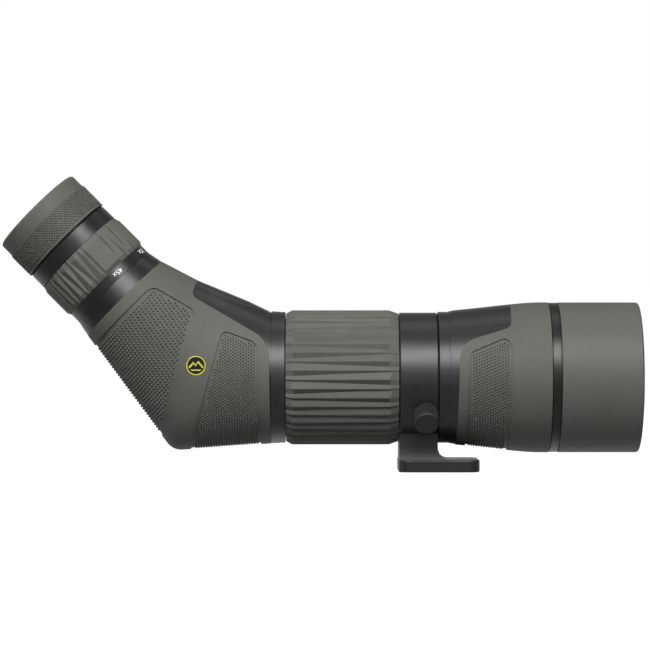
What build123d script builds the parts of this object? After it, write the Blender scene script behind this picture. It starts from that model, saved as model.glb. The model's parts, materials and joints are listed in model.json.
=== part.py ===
"""Angled spotting scope with a rotating tripod collar, as separate pieces.

Millimetres. The origin is the centre of the tripod thread in the foot's underside. +X runs along
the optical axis towards the objective, +Z is up, and the lock knob is on the -Y side.
"""

from build123d import *
from math import atan2, cos, degrees, radians, sin, sqrt, tan
import os

# ---------------------------------------------------------------- layout along the optical axis
axis_height = 50.0  # optical axis above the foot's underside
collar_front = -0.8
collar_length = 20.4
ring_gap = 0.4  # end play beside each turning ring
focus_length = 59.6
rear_flange = 6.7  # bare metal rim at the front of the prism housing
elbow_setback = 43.8  # front of the prism housing to the crossing of the two axes
front_armour_start = 8.0  # from the front housing's rear face
front_armour_length = 51.0
name_ring_length = 5.0
sunshade_length = 42.9

# ---------------------------------------------------------------- radii about the optical axis
tube_radius = 29.95
tube_wall = 3.45
run_clearance = 0.05  # radial, in every running fit
collar_radius = 34.6
liner_wall = 0.6
focus_sleeve_radius = 33.4
focus_grip_radius = 35.9
rear_rim_radius = 35.0
front_flange_radius = 35.0
armour_wall = 2.2
armour_rear_radius = 35.9
armour_front_radius = 40.1
barrel_radius = 37.6
barrel_bore = 35.2
barrel_length = 40.2
name_ring_radius = 39.9
sunshade_radius = 40.07
sunshade_bore = 38.4

# ---------------------------------------------------------------- prism housing
eyepiece_tilt = 45.0  # eyepiece axis above the optical axis
neck_distance = 59.4  # crossing of the axes to the end of the neck, along the eyepiece
neck_radius = 28.0
housing_radius = 35.3  # armour's outside where the housing meets its rim
housing_wall = 2.0
skin_drop = 0.9  # bare metal beside the spine, below the armour's surface
spine_half_width = 9.0
heel_back = 16.4  # heel's corner behind the crossing of the axes
heel_drop = 39.1
heel_radius = 9.0
saddle_back = 3.0
saddle_rise = 51.8
saddle_radius = 60.0

# ---------------------------------------------------------------- focusing
focus_travel = 24.0  # carriage travel over one turn of the ring
carriage_length = 14.0
pin_radius = 1.5
groove_depth = 1.9
groove_clearance = 0.2
focus_lens_radius = 21.0

# ---------------------------------------------------------------- objective
lens_land = 1.6  # flat rim of every lens, where its cell and rings bear on it
lens_radius = 33.0
objective_station = 63.0  # rear face of the cell

# ---------------------------------------------------------------- eyepiece, along its own axis
base_ring_length = 8.6
zoom_scale_length = 5.4
zoom_grip_length = 20.6
zoom_grip_radius = 27.3
zoom_sleeve_radius = 25.0
scale_radius = 26.2
top_ring_length = 8.6
top_ring_radius = 26.4
zoom_barrel_radius = 21.0
zoom_barrel_bore = 18.0
zoom_front_rate = 0.08  # millimetres of lens travel per degree of ring
zoom_rear_rate = -0.03
zoom_turn = (-55.0, 75.0)
zoom_pin_radius = 1.0
guide_radius = 23.0
guide_bore = 20.0
guide_length = 26.0
eyecup_gap = 0.7
eyecup_length = 22.8
eyecup_radius = 27.0
eyecup_lift = 10.0
eyecup_turn = 100.0

# ---------------------------------------------------------------- foot and lock
foot_length = 43.2
foot_half_width = 20.0
stem_half_width = 18.0
toe_height = 6.5
toe_corner = 6.0
flare_height = 15.0
web_radius = 7.0  # hollow between the stem and the toe
toe_edge = 0.8
thread_radius = 3.175  # 1/4-20 UNC, the usual tripod screw
thread_length = 5.5
insert_radius = 5.0
knob_angle = 30.5  # lock screw below horizontal
screw_radius = 2.5
knob_radius = 6.45
knob_length = 11.5
knob_stand_off = 0.6
knob_cap_radius = 4.6

# ---------------------------------------------------------------- derived stations
collar_rear = collar_front - collar_length
focus_front = collar_rear - ring_gap
focus_rear = focus_front - focus_length
housing_front = focus_rear - ring_gap
loft_front = housing_front - rear_flange
elbow_x = housing_front - elbow_setback
front_rear = collar_front + ring_gap
armour_rear = front_rear + front_armour_start
armour_front = armour_rear + front_armour_length
name_front = armour_front + name_ring_length
sunshade_rear = name_front + 0.15
sunshade_front = sunshade_rear + sunshade_length
barrel_front = armour_front + barrel_length
tube_bore = tube_radius - tube_wall
collar_mid = (collar_front + collar_rear) / 2
focus_mid = (focus_front + focus_rear) / 2
base_front = neck_distance + base_ring_length
zoom_start = base_front + 0.15
zoom_end = zoom_start + zoom_scale_length + zoom_grip_length
top_start = zoom_end + 0.15
top_end = top_start + top_ring_length
eyecup_start = top_end + eyecup_gap
eyecup_end = eyecup_start + eyecup_length

s = sin(radians(eyepiece_tilt))
c = cos(radians(eyepiece_tilt))

# Local x runs along each axis; local y is the radius.
optical = Plane(origin=(0, 0, axis_height), x_dir=(1, 0, 0), z_dir=(0, -1, 0))
ocular = Plane(origin=(elbow_x, 0, axis_height), x_dir=(-s, 0, c), z_dir=(0, -1, 0))


# ---------------------------------------------------------------- shapes used more than once
def turn(plane, *outline, mode=Mode.ADD):
    """Revolve a closed outline of (station, radius) points about the plane's x axis."""
    with BuildSketch(plane) as section:
        with BuildLine():
            Polyline(*outline, close=True)
        make_face()
    revolve(section.sketch, axis=Axis(plane.origin, plane.x_dir), mode=mode)


def tube(plane, start, end, bore, radius, mode=Mode.ADD):
    """A plain sleeve from one station to another."""
    turn(plane, (start, bore), (end, bore), (end, radius), (start, radius), mode=mode)


def disc_lens(plane, start, edge, radius, rear_bulge, front_bulge):
    """A round lens: two spherical faces inside a flat land, and a cylindrical edge."""
    with BuildSketch(plane) as section:
        with BuildLine():
            rear = TangentArc((start - rear_bulge, 0), (start, radius - lens_land), tangent=(0, 1))
            rear_land = Line(rear @ 1, (start, radius))
            rim = Line(rear_land @ 1, (start + edge, radius))
            front_land = Line(rim @ 1, (start + edge, radius - lens_land))
            front = TangentArc((start + edge + front_bulge, 0), front_land @ 1, tangent=(0, 1))
            Line(front @ 0, rear @ 0)
        make_face()
    revolve(section.sketch, axis=Axis(plane.origin, plane.x_dir))


def seal(plane, station, radius, thickness):
    """An O-ring of round section, centred on a radius."""
    with BuildSketch(plane) as section:
        with Locations((station, radius)):
            Circle(thickness)
    revolve(section.sketch, axis=Axis(plane.origin, plane.x_dir))


def radial(plane, station, angle, height=0.0):
    """A plane that faces outwards from an axis, at a station along it and an angle about it."""
    outward = plane.y_dir * cos(radians(angle)) + plane.z_dir * sin(radians(angle))
    origin = plane.origin + plane.x_dir * station + outward * height
    return Plane(origin=origin, x_dir=plane.x_dir, z_dir=outward)


def radial_pins(plane, station, angles, inner, outer, radius, mode=Mode.ADD):
    """Round pins that point outwards from an axis."""
    for angle in angles:
        with BuildSketch(radial(plane, station, angle, inner)) as section:
            Circle(radius)
        extrude(section.sketch, outer - inner, mode=mode)


def straight_slots(plane, low, high, angles, inner, outer, width):
    """Slots along an axis, cut through a sleeve's wall for pins that only slide."""
    for angle in angles:
        with BuildSketch(radial(plane, (low + high) / 2, angle, inner)) as section:
            SlotCenterToCenter(high - low, width)
        extrude(section.sketch, outer - inner, mode=Mode.SUBTRACT)


def helical_grooves(plane, station, angles, low, high, rate, radius, depth, width, outside=False):
    """Grooves in a sleeve's wall for pins: they advance by rate for each degree, from low to high."""
    mouth = 0.4
    middle = radius + (mouth - depth) / 2 if outside else radius + (depth - mouth) / 2
    for angle in angles:
        first = radial(plane, station + rate * low, angle + low)
        start = Plane(origin=first.origin, x_dir=first.z_dir, z_dir=plane.x_dir)
        lead = abs(rate) * 360
        path = start * Helix(lead, abs(rate) * (high - low), middle, lefthand=rate < 0)
        if rate < 0:
            start = Plane(origin=first.origin, x_dir=first.z_dir, z_dir=-plane.x_dir)
            path = start * Helix(lead, abs(rate) * (high - low), middle, lefthand=True)
        section_plane = Plane(origin=path @ 0, x_dir=first.z_dir, z_dir=path % 0)
        with BuildSketch(section_plane, mode=Mode.PRIVATE) as section:
            Rectangle(depth + mouth, width)
        sweep(section.sketch, path=path, is_frenet=True, mode=Mode.SUBTRACT)


def at_side(x, z):
    """A point in the side view, on the object's plane of symmetry."""
    return Vector(x, 0, z)


def rounded_corner(before, corner, after, radius):
    """Where a rounding starts and ends, and its centre, for a corner in the side view."""
    back = (before - corner).normalized()
    ahead = (after - corner).normalized()
    half = radians(back.get_angle(ahead)) / 2
    reach = radius / tan(half)
    centre = corner + (back + ahead).normalized() * (radius / sin(half))
    return corner + back * reach, corner + ahead * reach, centre


# ---------------------------------------------------------------- prism housing's shape
# Its sections are ellipses on planes that fan out from one line above the saddle, from the round
# rim at the front to the round neck of the eyepiece.
neck_centre = ocular.origin + ocular.x_dir * neck_distance
neck_side = Vector(c, 0, s)
fan = neck_centre + neck_side * ((loft_front - neck_centre.X) / c)
heel_line = [
    neck_centre - neck_side * neck_radius,
    at_side(elbow_x - heel_back, axis_height - heel_drop),
    at_side(loft_front, axis_height - housing_radius),
]
saddle_line = [
    neck_centre + neck_side * neck_radius,
    at_side(elbow_x - saddle_back, axis_height + saddle_rise),
    at_side(loft_front, axis_height + housing_radius),
]


def fan_angle(point):
    """Angle of a point in the side view about the fan's line, from 0 at the front."""
    return degrees(atan2(fan.X - point.X, fan.Z - point.Z))


def fan_reach(angle, line, radius):
    """Distance from the fan's line to a side-view outline with one rounded corner."""
    ray = at_side(-sin(radians(angle)), -cos(radians(angle)))
    start, end, centre = rounded_corner(*line, radius)
    if fan_angle(end) < angle < fan_angle(start):
        away = fan - centre
        along = away.dot(ray)
        return -along + sqrt(along * along - away.dot(away) + radius * radius)
    a, b = (line[0], start) if angle >= fan_angle(start) else (end, line[2])
    edge = b - a
    normal = at_side(-edge.Z, edge.X)
    return (a - fan).dot(normal) / ray.dot(normal)


def fan_section(angle, inset):
    """Plane, half width and half height of one section, moved inwards by inset."""
    low = fan_reach(angle, heel_line, heel_radius)
    high = fan_reach(angle, saddle_line, saddle_radius)
    ray = at_side(-sin(radians(angle)), -cos(radians(angle)))
    share = 1 - angle / eyepiece_tilt
    half_width = neck_radius + (housing_radius - neck_radius) * share - inset
    plane = Plane(
        origin=fan + ray * ((low + high) / 2),
        x_dir=(0, 1, 0),
        z_dir=(cos(radians(angle)), 0, -sin(radians(angle))),
    )
    return plane, half_width, (low - high) / 2 - inset


def side_width(x, z, inset=0.0):
    """How far the housing's side stands from the plane of symmetry, at a point in the side view."""
    point = at_side(x, z)
    plane, half_width, half_height = fan_section(fan_angle(point), inset)
    share = (point - plane.origin).length / half_height
    return half_width * sqrt(1 - share * share)


def housing_shape(inset):
    """The prism housing's rounded body, moved inwards by inset."""
    heel_start, heel_end, _ = rounded_corner(*heel_line, heel_radius)
    stops = [eyepiece_tilt, fan_angle(heel_start), fan_angle(heel_end), 0.0]
    angles = [stops[0]]
    for first, last in zip(stops, stops[1:]):
        angles += [first + (last - first) * k / 5 for k in range(1, 6)]
    sections = []
    for angle in angles:
        plane, half_width, half_height = fan_section(angle, inset)
        with BuildSketch(plane, mode=Mode.PRIVATE) as section:
            Ellipse(half_width, half_height)
        sections.append(section.sketch.face())
    return loft(sections, ruled=True, mode=Mode.PRIVATE)


def side_cut(outline, corners):
    """A side-view outline, with some corners rounded, carried right through the object."""
    with BuildSketch(Plane.XZ, mode=Mode.PRIVATE) as section:
        with BuildLine():
            Polyline(*outline, close=True)
        make_face()
        for corner, radius in corners:
            fillet(section.vertices().sort_by_distance(corner)[0], radius)
    return extrude(section.sketch, 60, both=True, mode=Mode.PRIVATE)


# Bare metal of the prism housing: above and ahead of the armour's edge.
metal_low_corner = (loft_front - 1.8, axis_height + 19.8)
metal_high_corner = (elbow_x - 5.7, axis_height + 43.6)
rear_metal = side_cut(
    [
        (loft_front, axis_height - 80),
        metal_low_corner,
        metal_high_corner,
        (elbow_x + 5.0, axis_height + 76),
        (housing_front + 20, axis_height + 76),
        (housing_front + 20, axis_height - 80),
    ],
    [(metal_low_corner, 8.0), (metal_high_corner, 3.0)],
)

# Bare metal of the front housing: its rear flange and the ridge along its top.
ridge_low_corner = (armour_rear + 2.2, axis_height + 18.5)
ridge_high_corner = (armour_rear + 29.3, axis_height + 27.0)
front_metal = side_cut(
    [
        (armour_rear, axis_height - 60),
        ridge_low_corner,
        ridge_high_corner,
        (armour_rear + 30.7, axis_height + 60),
        (front_rear - 10, axis_height + 60),
        (front_rear - 10, axis_height - 60),
    ],
    [(ridge_low_corner, 8.0), (ridge_high_corner, 2.5)],
)

os.makedirs("parts", exist_ok=True)


# ================================================================ tripod collar
lock_station = collar_front - 6.6
lock = Plane(
    origin=(lock_station, 0, axis_height),
    x_dir=(1, 0, 0),
    z_dir=(0, -cos(radians(knob_angle)), -sin(radians(knob_angle))),
)
liner_bore = tube_radius + run_clearance
ring_bore = liner_bore + liner_wall
screw_bore = screw_radius + run_clearance
edge_break = 0.6

with BuildPart() as collar_foot:
    turn(
        optical,
        (collar_rear, ring_bore),
        (collar_front, ring_bore),
        (collar_front, collar_radius - edge_break),
        (collar_front - edge_break, collar_radius),
        (collar_rear + edge_break, collar_radius),
        (collar_rear, collar_radius - edge_break),
    )
    with BuildSketch(Plane.YZ.offset(collar_rear)) as stem:
        with BuildLine():
            base = Line((0, 0), (foot_half_width - 1, 0))
            side = Line(base @ 1, (foot_half_width - 1, toe_height))
            flare = TangentArc((stem_half_width, flare_height), side @ 1, tangent=(0, -1))
            up = Line(flare @ 0, (stem_half_width, axis_height - collar_radius / 2))
            top = Line(up @ 1, (0, axis_height - collar_radius / 2))
            Line(top @ 1, base @ 0)
        make_face()
        mirror(about=Plane.YZ)
    extrude(stem.sketch, collar_length)
    with BuildSketch() as toe:
        RectangleRounded(foot_length, 2 * foot_half_width, toe_corner)
    extrude(toe.sketch, toe_height)
    toe_top = collar_foot.edges().filter_by_position(Axis.Z, toe_height - 0.01, toe_height + 0.01)
    fillet(toe_top.filter_by(lambda edge: edge.center().X > collar_front + web_radius), toe_edge)
    with BuildPart(mode=Mode.PRIVATE) as web:
        with BuildSketch(Plane.XZ) as hollow:
            with BuildLine():
                sole = Line((collar_mid, 0), (collar_front + web_radius, 0))
                step = Line(sole @ 1, (collar_front + web_radius, toe_height))
                curve = TangentArc(step @ 1, (collar_front, toe_height + web_radius), tangent=(-1, 0))
                back = Line(curve @ 1, (collar_mid, toe_height + web_radius))
                Line(back @ 1, sole @ 0)
            make_face()
        extrude(hollow.sketch, foot_half_width, both=True)
        extrude(stem.sketch, collar_length + web_radius, mode=Mode.INTERSECT)
    add(web.part)
    tube(optical, collar_rear - 1, collar_front + 1, 0, ring_bore, mode=Mode.SUBTRACT)
    rim = collar_foot.edges().group_by(Axis.Z)[0]
    chamfer(rim, 0.5)
    with BuildSketch(Plane.XY) as pocket:
        Circle(insert_radius)
    extrude(pocket.sketch, thread_length, mode=Mode.SUBTRACT)
    with BuildSketch(lock.offset(ring_bore - 2)) as lock_bore:
        Circle(screw_bore)
    extrude(lock_bore.sketch, 10, mode=Mode.SUBTRACT)
collar_foot.part.label = "collar_foot"
export_step(collar_foot.part, "parts/collar_foot.step")

with BuildPart() as collar_liner:
    tube(optical, collar_rear, collar_front, liner_bore, ring_bore)
    with BuildSketch(lock.offset(liner_bore - 2)) as pad_hole:
        Circle(screw_bore)
    extrude(pad_hole.sketch, 6, mode=Mode.SUBTRACT)
collar_liner.part.label = "collar_liner"
export_step(collar_liner.part, "parts/collar_liner.step")

with BuildPart() as thread_insert:
    with BuildSketch():
        Circle(insert_radius)
        Circle(thread_radius, mode=Mode.SUBTRACT)
    extrude(amount=thread_length)
thread_insert.part.label = "thread_insert"
export_step(thread_insert.part, "parts/thread_insert.step")

# The pad is pushed inwards by the lock screw and doesn't turn.
pad_start = liner_bore + 0.25
pad_end = pad_start + 1.4
with BuildPart() as brake_pad:
    with BuildSketch(lock.offset(pad_start)):
        Circle(screw_radius - run_clearance)
    extrude(amount=pad_end - pad_start)
brake_pad.part.label = "brake_pad"
export_step(brake_pad.part, "parts/brake_pad.step")

knob_start = collar_radius + knob_stand_off
screw_end = knob_start + 7.0
cap_recess = 1.2
with BuildPart() as lock_screw:
    with BuildSketch(lock.offset(pad_end + run_clearance)):
        Circle(screw_radius)
    extrude(amount=screw_end - pad_end - run_clearance)
lock_screw.part.label = "lock_screw"
export_step(lock_screw.part, "parts/lock_screw.step")

with BuildPart() as lock_knob:
    with BuildSketch(lock.offset(knob_start)):
        Circle(knob_radius)
    extrude(amount=knob_length)
    chamfer(lock_knob.edges(), 0.6)
    with BuildSketch(lock.offset(knob_start)) as screw_socket:
        Circle(screw_radius)
    extrude(screw_socket.sketch, screw_end - knob_start, mode=Mode.SUBTRACT)
    with BuildSketch(lock.offset(knob_start + knob_length - cap_recess)) as cap_socket:
        Circle(knob_cap_radius)
    extrude(cap_socket.sketch, cap_recess, mode=Mode.SUBTRACT)
lock_knob.part.label = "lock_knob"
export_step(lock_knob.part, "parts/lock_knob.step")

with BuildPart() as knob_cap:
    with BuildSketch(lock.offset(knob_start + knob_length - cap_recess)):
        Circle(knob_cap_radius)
    extrude(amount=cap_recess)
knob_cap.part.label = "knob_cap"
export_step(knob_cap.part, "parts/knob_cap.step")


# ================================================================ body tube and focusing
tube_thread = 9.0  # how far the tube enters each housing
drive_angles = (30, 150, 270)
tube_rear = housing_front - tube_thread
tube_front = front_rear + tube_thread
half_turn = focus_travel / 2
focus_rate = focus_travel / 360
ring_seal = 0.6
seal_gap = 0.03
seal_groove = 1.3
seal_stations = (focus_rear + 2.4, focus_front - 2.4)
pin_slot = 2 * (pin_radius + run_clearance)

with BuildPart() as body_tube:
    tube(optical, tube_rear, tube_front, tube_bore, tube_radius)
    straight_slots(
        optical, focus_mid - half_turn, focus_mid + half_turn, drive_angles,
        tube_bore - 3, tube_radius + 3, pin_slot,
    )
    for station in seal_stations:
        floor = tube_radius - seal_groove
        tube(optical, station - 0.7, station + 0.7, floor, tube_radius + 1, Mode.SUBTRACT)
body_tube.part.label = "body_tube"
export_step(body_tube.part, "parts/body_tube.step")

with BuildPart() as focus_seals:
    for station in seal_stations:
        seal(optical, station, tube_radius + run_clearance - seal_gap - ring_seal, ring_seal)
focus_seals.part.label = "focus_seals"
export_step(focus_seals.part, "parts/focus_seals.step")

with BuildPart() as tube_baffle:
    tube(optical, tube_front - 2.0, tube_front - 0.8, tube_bore - 4.5, tube_bore)
tube_baffle.part.label = "tube_baffle"
export_step(tube_baffle.part, "parts/tube_baffle.step")

with BuildPart() as focus_ring:
    tube(optical, focus_rear, focus_front, tube_radius + run_clearance, focus_sleeve_radius)
    helical_grooves(
        optical, focus_mid, drive_angles, -188, 188, -focus_rate,
        tube_radius + run_clearance, groove_depth, 2 * (pin_radius + groove_clearance),
    )
focus_ring.part.label = "focus_ring"
export_step(focus_ring.part, "parts/focus_ring.step")

grip_waist = 0.3
grip_bevel = 0.8
with BuildPart() as focus_grip:
    turn(
        optical,
        (focus_rear, focus_sleeve_radius),
        (focus_rear, focus_grip_radius - grip_bevel),
        (focus_rear + grip_bevel, focus_grip_radius),
        (focus_mid, focus_grip_radius - grip_waist),
        (focus_front - grip_bevel, focus_grip_radius),
        (focus_front, focus_grip_radius - grip_bevel),
        (focus_front, focus_sleeve_radius),
    )
focus_grip.part.label = "focus_grip"
export_step(focus_grip.part, "parts/focus_grip.step")

carriage_rear = focus_mid - carriage_length / 2
ledge = 2.0
pin_root = focus_lens_radius + 1.5
pin_tip = tube_radius + groove_depth - groove_clearance
with BuildPart() as focus_carriage:
    turn(
        optical,
        (carriage_rear, focus_lens_radius - 1.5),
        (carriage_rear + ledge, focus_lens_radius - 1.5),
        (carriage_rear + ledge, focus_lens_radius),
        (carriage_rear + carriage_length, focus_lens_radius),
        (carriage_rear + carriage_length, tube_bore - run_clearance),
        (carriage_rear, tube_bore - run_clearance),
    )
    radial_pins(optical, focus_mid, drive_angles, pin_root, pin_tip, pin_radius, mode=Mode.SUBTRACT)
focus_carriage.part.label = "focus_carriage"
export_step(focus_carriage.part, "parts/focus_carriage.step")

with BuildPart() as focus_drive_pins:
    radial_pins(optical, focus_mid, drive_angles, pin_root, pin_tip, pin_radius)
focus_drive_pins.part.label = "focus_drive_pins"
export_step(focus_drive_pins.part, "parts/focus_drive_pins.step")

focus_lens_start = carriage_rear + ledge
cement_curve = 2.4
with BuildPart() as focus_lens_rear:
    disc_lens(optical, focus_lens_start, 3.6, focus_lens_radius, -0.9, -cement_curve + 1.2)
focus_lens_rear.part.label = "focus_lens_rear"
export_step(focus_lens_rear.part, "parts/focus_lens_rear.step")

with BuildPart() as focus_lens_front:
    disc_lens(optical, focus_lens_start + 3.6, 4.4, focus_lens_radius, cement_curve - 1.2, -1.4)
focus_lens_front.part.label = "focus_lens_front"
export_step(focus_lens_front.part, "parts/focus_lens_front.step")

with BuildPart() as focus_lens_retainer:
    ring_start = focus_lens_start + 8.0
    tube(optical, ring_start, ring_start + 2.4, focus_lens_radius - 1.6, focus_lens_radius)
focus_lens_retainer.part.label = "focus_lens_retainer"
export_step(focus_lens_retainer.part, "parts/focus_lens_retainer.step")


# ================================================================ front housing and objective
cone_end = armour_rear + 30.9
armour_full = armour_rear + 46.9
cone_radius = 38.8
ridge_start = front_rear + 5.2
stop_flange = 2.5
stop_spigot = 4.0
glide_length = 3.3

with BuildPart() as front_housing:
    turn(
        optical,
        (front_rear, tube_radius),
        (front_rear, front_flange_radius),
        (armour_rear - 0.4, front_flange_radius),
        (armour_rear - 0.4, armour_rear_radius - armour_wall),
        (cone_end, cone_radius - armour_wall),
        (armour_full, armour_front_radius - armour_wall),
        (armour_front, armour_front_radius - armour_wall),
        (armour_front, barrel_radius),
        (barrel_front, barrel_radius),
        (barrel_front, barrel_bore),
        (objective_station, barrel_bore),
        (objective_station, barrel_bore - 1.5),
        (objective_station - 2, barrel_bore - 1.5),
        (tube_front, tube_bore),
        (tube_front, tube_radius),
    )
    with BuildPart(mode=Mode.PRIVATE) as ridge:
        turn(
            optical,
            (ridge_start, tube_radius + 1),
            (ridge_start, front_flange_radius),
            (cone_end, cone_radius - 0.1),
            (armour_full - 8, cone_radius - 0.1),
            (armour_full - 8, cone_radius - armour_wall - 1.2),
        )
        add(front_metal, mode=Mode.INTERSECT)
    add(ridge.part)
front_housing.part.label = "front_housing"
export_step(front_housing.part, "parts/front_housing.step")

with BuildPart() as front_armour:
    turn(
        optical,
        (armour_rear, armour_rear_radius - armour_wall + 0.02),
        (armour_rear, armour_rear_radius),
        (cone_end, cone_radius),
        (armour_full, armour_front_radius),
        (armour_front, armour_front_radius),
        (armour_front, armour_front_radius - armour_wall),
        (armour_full, armour_front_radius - armour_wall),
        (cone_end, cone_radius - armour_wall),
    )
    add(front_metal, mode=Mode.SUBTRACT)
    add(front_housing.part, mode=Mode.SUBTRACT)
front_armour.part.label = "front_armour"
export_step(front_armour.part, "parts/front_armour.step")

with BuildPart() as name_ring:
    tube(optical, armour_front, name_front, barrel_radius, name_ring_radius)
    chamfer(name_ring.edges().filter_by(GeomType.CIRCLE).group_by(SortBy.RADIUS)[-1], 0.35)
name_ring.part.label = "name_ring"
export_step(name_ring.part, "parts/name_ring.step")

with BuildPart() as sunshade:
    turn(
        optical,
        (sunshade_rear, barrel_radius + 0.45),
        (sunshade_rear, sunshade_radius - 0.3),
        (sunshade_rear + 0.3, sunshade_radius),
        (sunshade_front - 1.0, sunshade_radius),
        (sunshade_front - 0.3, sunshade_radius - 0.3),
        (sunshade_front, sunshade_radius - 1.0),
        (sunshade_front, sunshade_bore + 0.3),
        (sunshade_front - 0.3, sunshade_bore),
        (sunshade_rear + 0.8, sunshade_bore),
        (sunshade_rear + 0.8, barrel_radius + 0.45),
    )
sunshade.part.label = "sunshade"
export_step(sunshade.part, "parts/sunshade.step")

with BuildPart() as sunshade_glide:
    glide_start = sunshade_rear + 0.8
    tube(optical, glide_start, glide_start + glide_length, barrel_radius + run_clearance, sunshade_bore)
sunshade_glide.part.label = "sunshade_glide"
export_step(sunshade_glide.part, "parts/sunshade_glide.step")

with BuildPart() as sunshade_stop:
    turn(
        optical,
        (barrel_front - stop_spigot, barrel_bore - 1.2),
        (barrel_front - stop_spigot, barrel_bore),
        (barrel_front, barrel_bore),
        (barrel_front, sunshade_bore - run_clearance),
        (barrel_front + stop_flange, sunshade_bore - run_clearance),
        (barrel_front + stop_flange, barrel_bore - 1.2),
    )
sunshade_stop.part.label = "sunshade_stop"
export_step(sunshade_stop.part, "parts/sunshade_stop.step")

cell_ledge = 3.0
rear_edge = 6.0
spacer_length = 2.4
front_edge = 4.2
retainer_length = 3.4
cell_seal = 0.8
cell_length = cell_ledge + rear_edge + spacer_length + front_edge + retainer_length + 1.0
cell_front = objective_station + cell_length
rear_lens_start = objective_station + cell_ledge
spacer_start = rear_lens_start + rear_edge
front_lens_start = spacer_start + spacer_length
retainer_start = front_lens_start + front_edge
seal_station = cell_front - 4.5

with BuildPart() as objective_cell:
    turn(
        optical,
        (objective_station, lens_radius - 1.5),
        (objective_station, barrel_bore),
        (cell_front, barrel_bore),
        (cell_front, lens_radius),
        (rear_lens_start, lens_radius),
        (rear_lens_start, lens_radius - 1.5),
    )
    tube(
        optical, seal_station - cell_seal, seal_station + cell_seal,
        barrel_bore - 2 * cell_seal, barrel_bore + 1, Mode.SUBTRACT,
    )
objective_cell.part.label = "objective_cell"
export_step(objective_cell.part, "parts/objective_cell.step")

with BuildPart() as objective_seal:
    seal(optical, seal_station, barrel_bore - cell_seal, cell_seal)
objective_seal.part.label = "objective_seal"
export_step(objective_seal.part, "parts/objective_seal.step")

with BuildPart() as objective_lens_rear:
    disc_lens(optical, rear_lens_start, rear_edge, lens_radius, 0.6, -3.6)
objective_lens_rear.part.label = "objective_lens_rear"
export_step(objective_lens_rear.part, "parts/objective_lens_rear.step")

with BuildPart() as objective_spacer:
    tube(optical, spacer_start, front_lens_start, lens_radius - 1.4, lens_radius)
objective_spacer.part.label = "objective_spacer"
export_step(objective_spacer.part, "parts/objective_spacer.step")

with BuildPart() as objective_lens_front:
    disc_lens(optical, front_lens_start, front_edge, lens_radius, 3.2, 5.5)
objective_lens_front.part.label = "objective_lens_front"
export_step(objective_lens_front.part, "parts/objective_lens_front.step")

with BuildPart() as objective_retainer:
    tube(optical, retainer_start, retainer_start + retainer_length, lens_radius - 1.2, lens_radius)
objective_retainer.part.label = "objective_retainer"
export_step(objective_retainer.part, "parts/objective_retainer.step")


# ================================================================ prism housing and armour
prism_face = 44.0  # length of the entrance and exit faces
prism_half_width = 13.0
prism_setback = 10.8  # crossing of the axes to each of those faces
cage_wall = 2.4
cheek = 2.2
plate_thickness = 1.8
boss_radius = 3.6
screw_shank = 1.25
screw_head = 2.4
screw_head_height = 1.8
boss_face = 26.0  # from the plane of symmetry
neck_thread = 7.4
neck_wall = 2.6
base_spigot = 23.0
rim_bump = 1.1
badge_radius = 5.15
badge_thickness = 1.0
badge_x = elbow_x - 2.8
badge_z = axis_height + 6.7

cheek_points = [(elbow_x + 3, axis_height + 10), (elbow_x - 9, axis_height - 3)]
sides = {-1: prism_half_width + cheek, 1: prism_half_width + plate_thickness}
metal_surface = housing_shape(armour_wall)


def across(x, z, start, end, side, radius):
    """A round bar square to the plane of symmetry, on one side of it."""
    with BuildSketch(Plane(origin=(x, side * start, z), z_dir=(0, side, 0)), mode=Mode.PRIVATE) as bar:
        Circle(radius)
    return extrude(bar.sketch, end - start, mode=Mode.PRIVATE)


with BuildPart() as prism_housing:
    add(metal_surface)
    with BuildPart(mode=Mode.PRIVATE) as bare_metal:
        add(housing_shape(skin_drop))
        add(rear_metal, mode=Mode.INTERSECT)
    add(bare_metal.part)
    with BuildPart(mode=Mode.PRIVATE) as spine:
        add(housing_shape(0.0))
        add(rear_metal, mode=Mode.INTERSECT)
        with BuildSketch(Plane.XY.offset(axis_height)) as band:
            with Locations(((elbow_x + housing_front) / 2, 0)):
                Rectangle(3 * elbow_setback, 2 * spine_half_width)
        extrude(band.sketch, 80, mode=Mode.INTERSECT)
    add(spine.part)
    turn(
        optical,
        (loft_front - 0.5, 0),
        (loft_front - 0.5, housing_radius + rim_bump),
        (loft_front + 3.5, housing_radius + rim_bump - 0.3),
        (loft_front + 4.6, rear_rim_radius),
        (housing_front - 0.4, rear_rim_radius),
        (housing_front, rear_rim_radius - 0.4),
        (housing_front, 0),
    )
    add(housing_shape(armour_wall + housing_wall), mode=Mode.SUBTRACT)
    turn(
        optical,
        (tube_rear, tube_bore),
        (tube_rear, housing_radius - armour_wall - 0.6),
        (housing_front, rear_rim_radius - 1),
        (housing_front, tube_bore),
    )
    turn(
        ocular,
        (neck_distance - neck_thread, base_spigot),
        (neck_distance - neck_thread, base_spigot + neck_wall),
        (neck_distance, base_spigot + neck_wall),
        (neck_distance, base_spigot),
    )
    for side, start in sides.items():
        for x, z in cheek_points:
            boss = across(x, z, start, 40, side, boss_radius)
            add(boss & metal_surface)
    for side, start in sides.items():
        for x, z in cheek_points:
            add(across(x, z, start - 5, 40, side, screw_shank), mode=Mode.SUBTRACT)
            add(across(x, z, boss_face, 40, side, screw_head + 0.1), mode=Mode.SUBTRACT)
    tube(optical, tube_rear, housing_front + 1, 0, tube_radius, mode=Mode.SUBTRACT)
    tube(ocular, neck_distance - neck_thread - 4, neck_distance + 1, 0, base_spigot, mode=Mode.SUBTRACT)
prism_housing.part.label = "prism_housing"
export_step(prism_housing.part, "parts/prism_housing.step")

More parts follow.
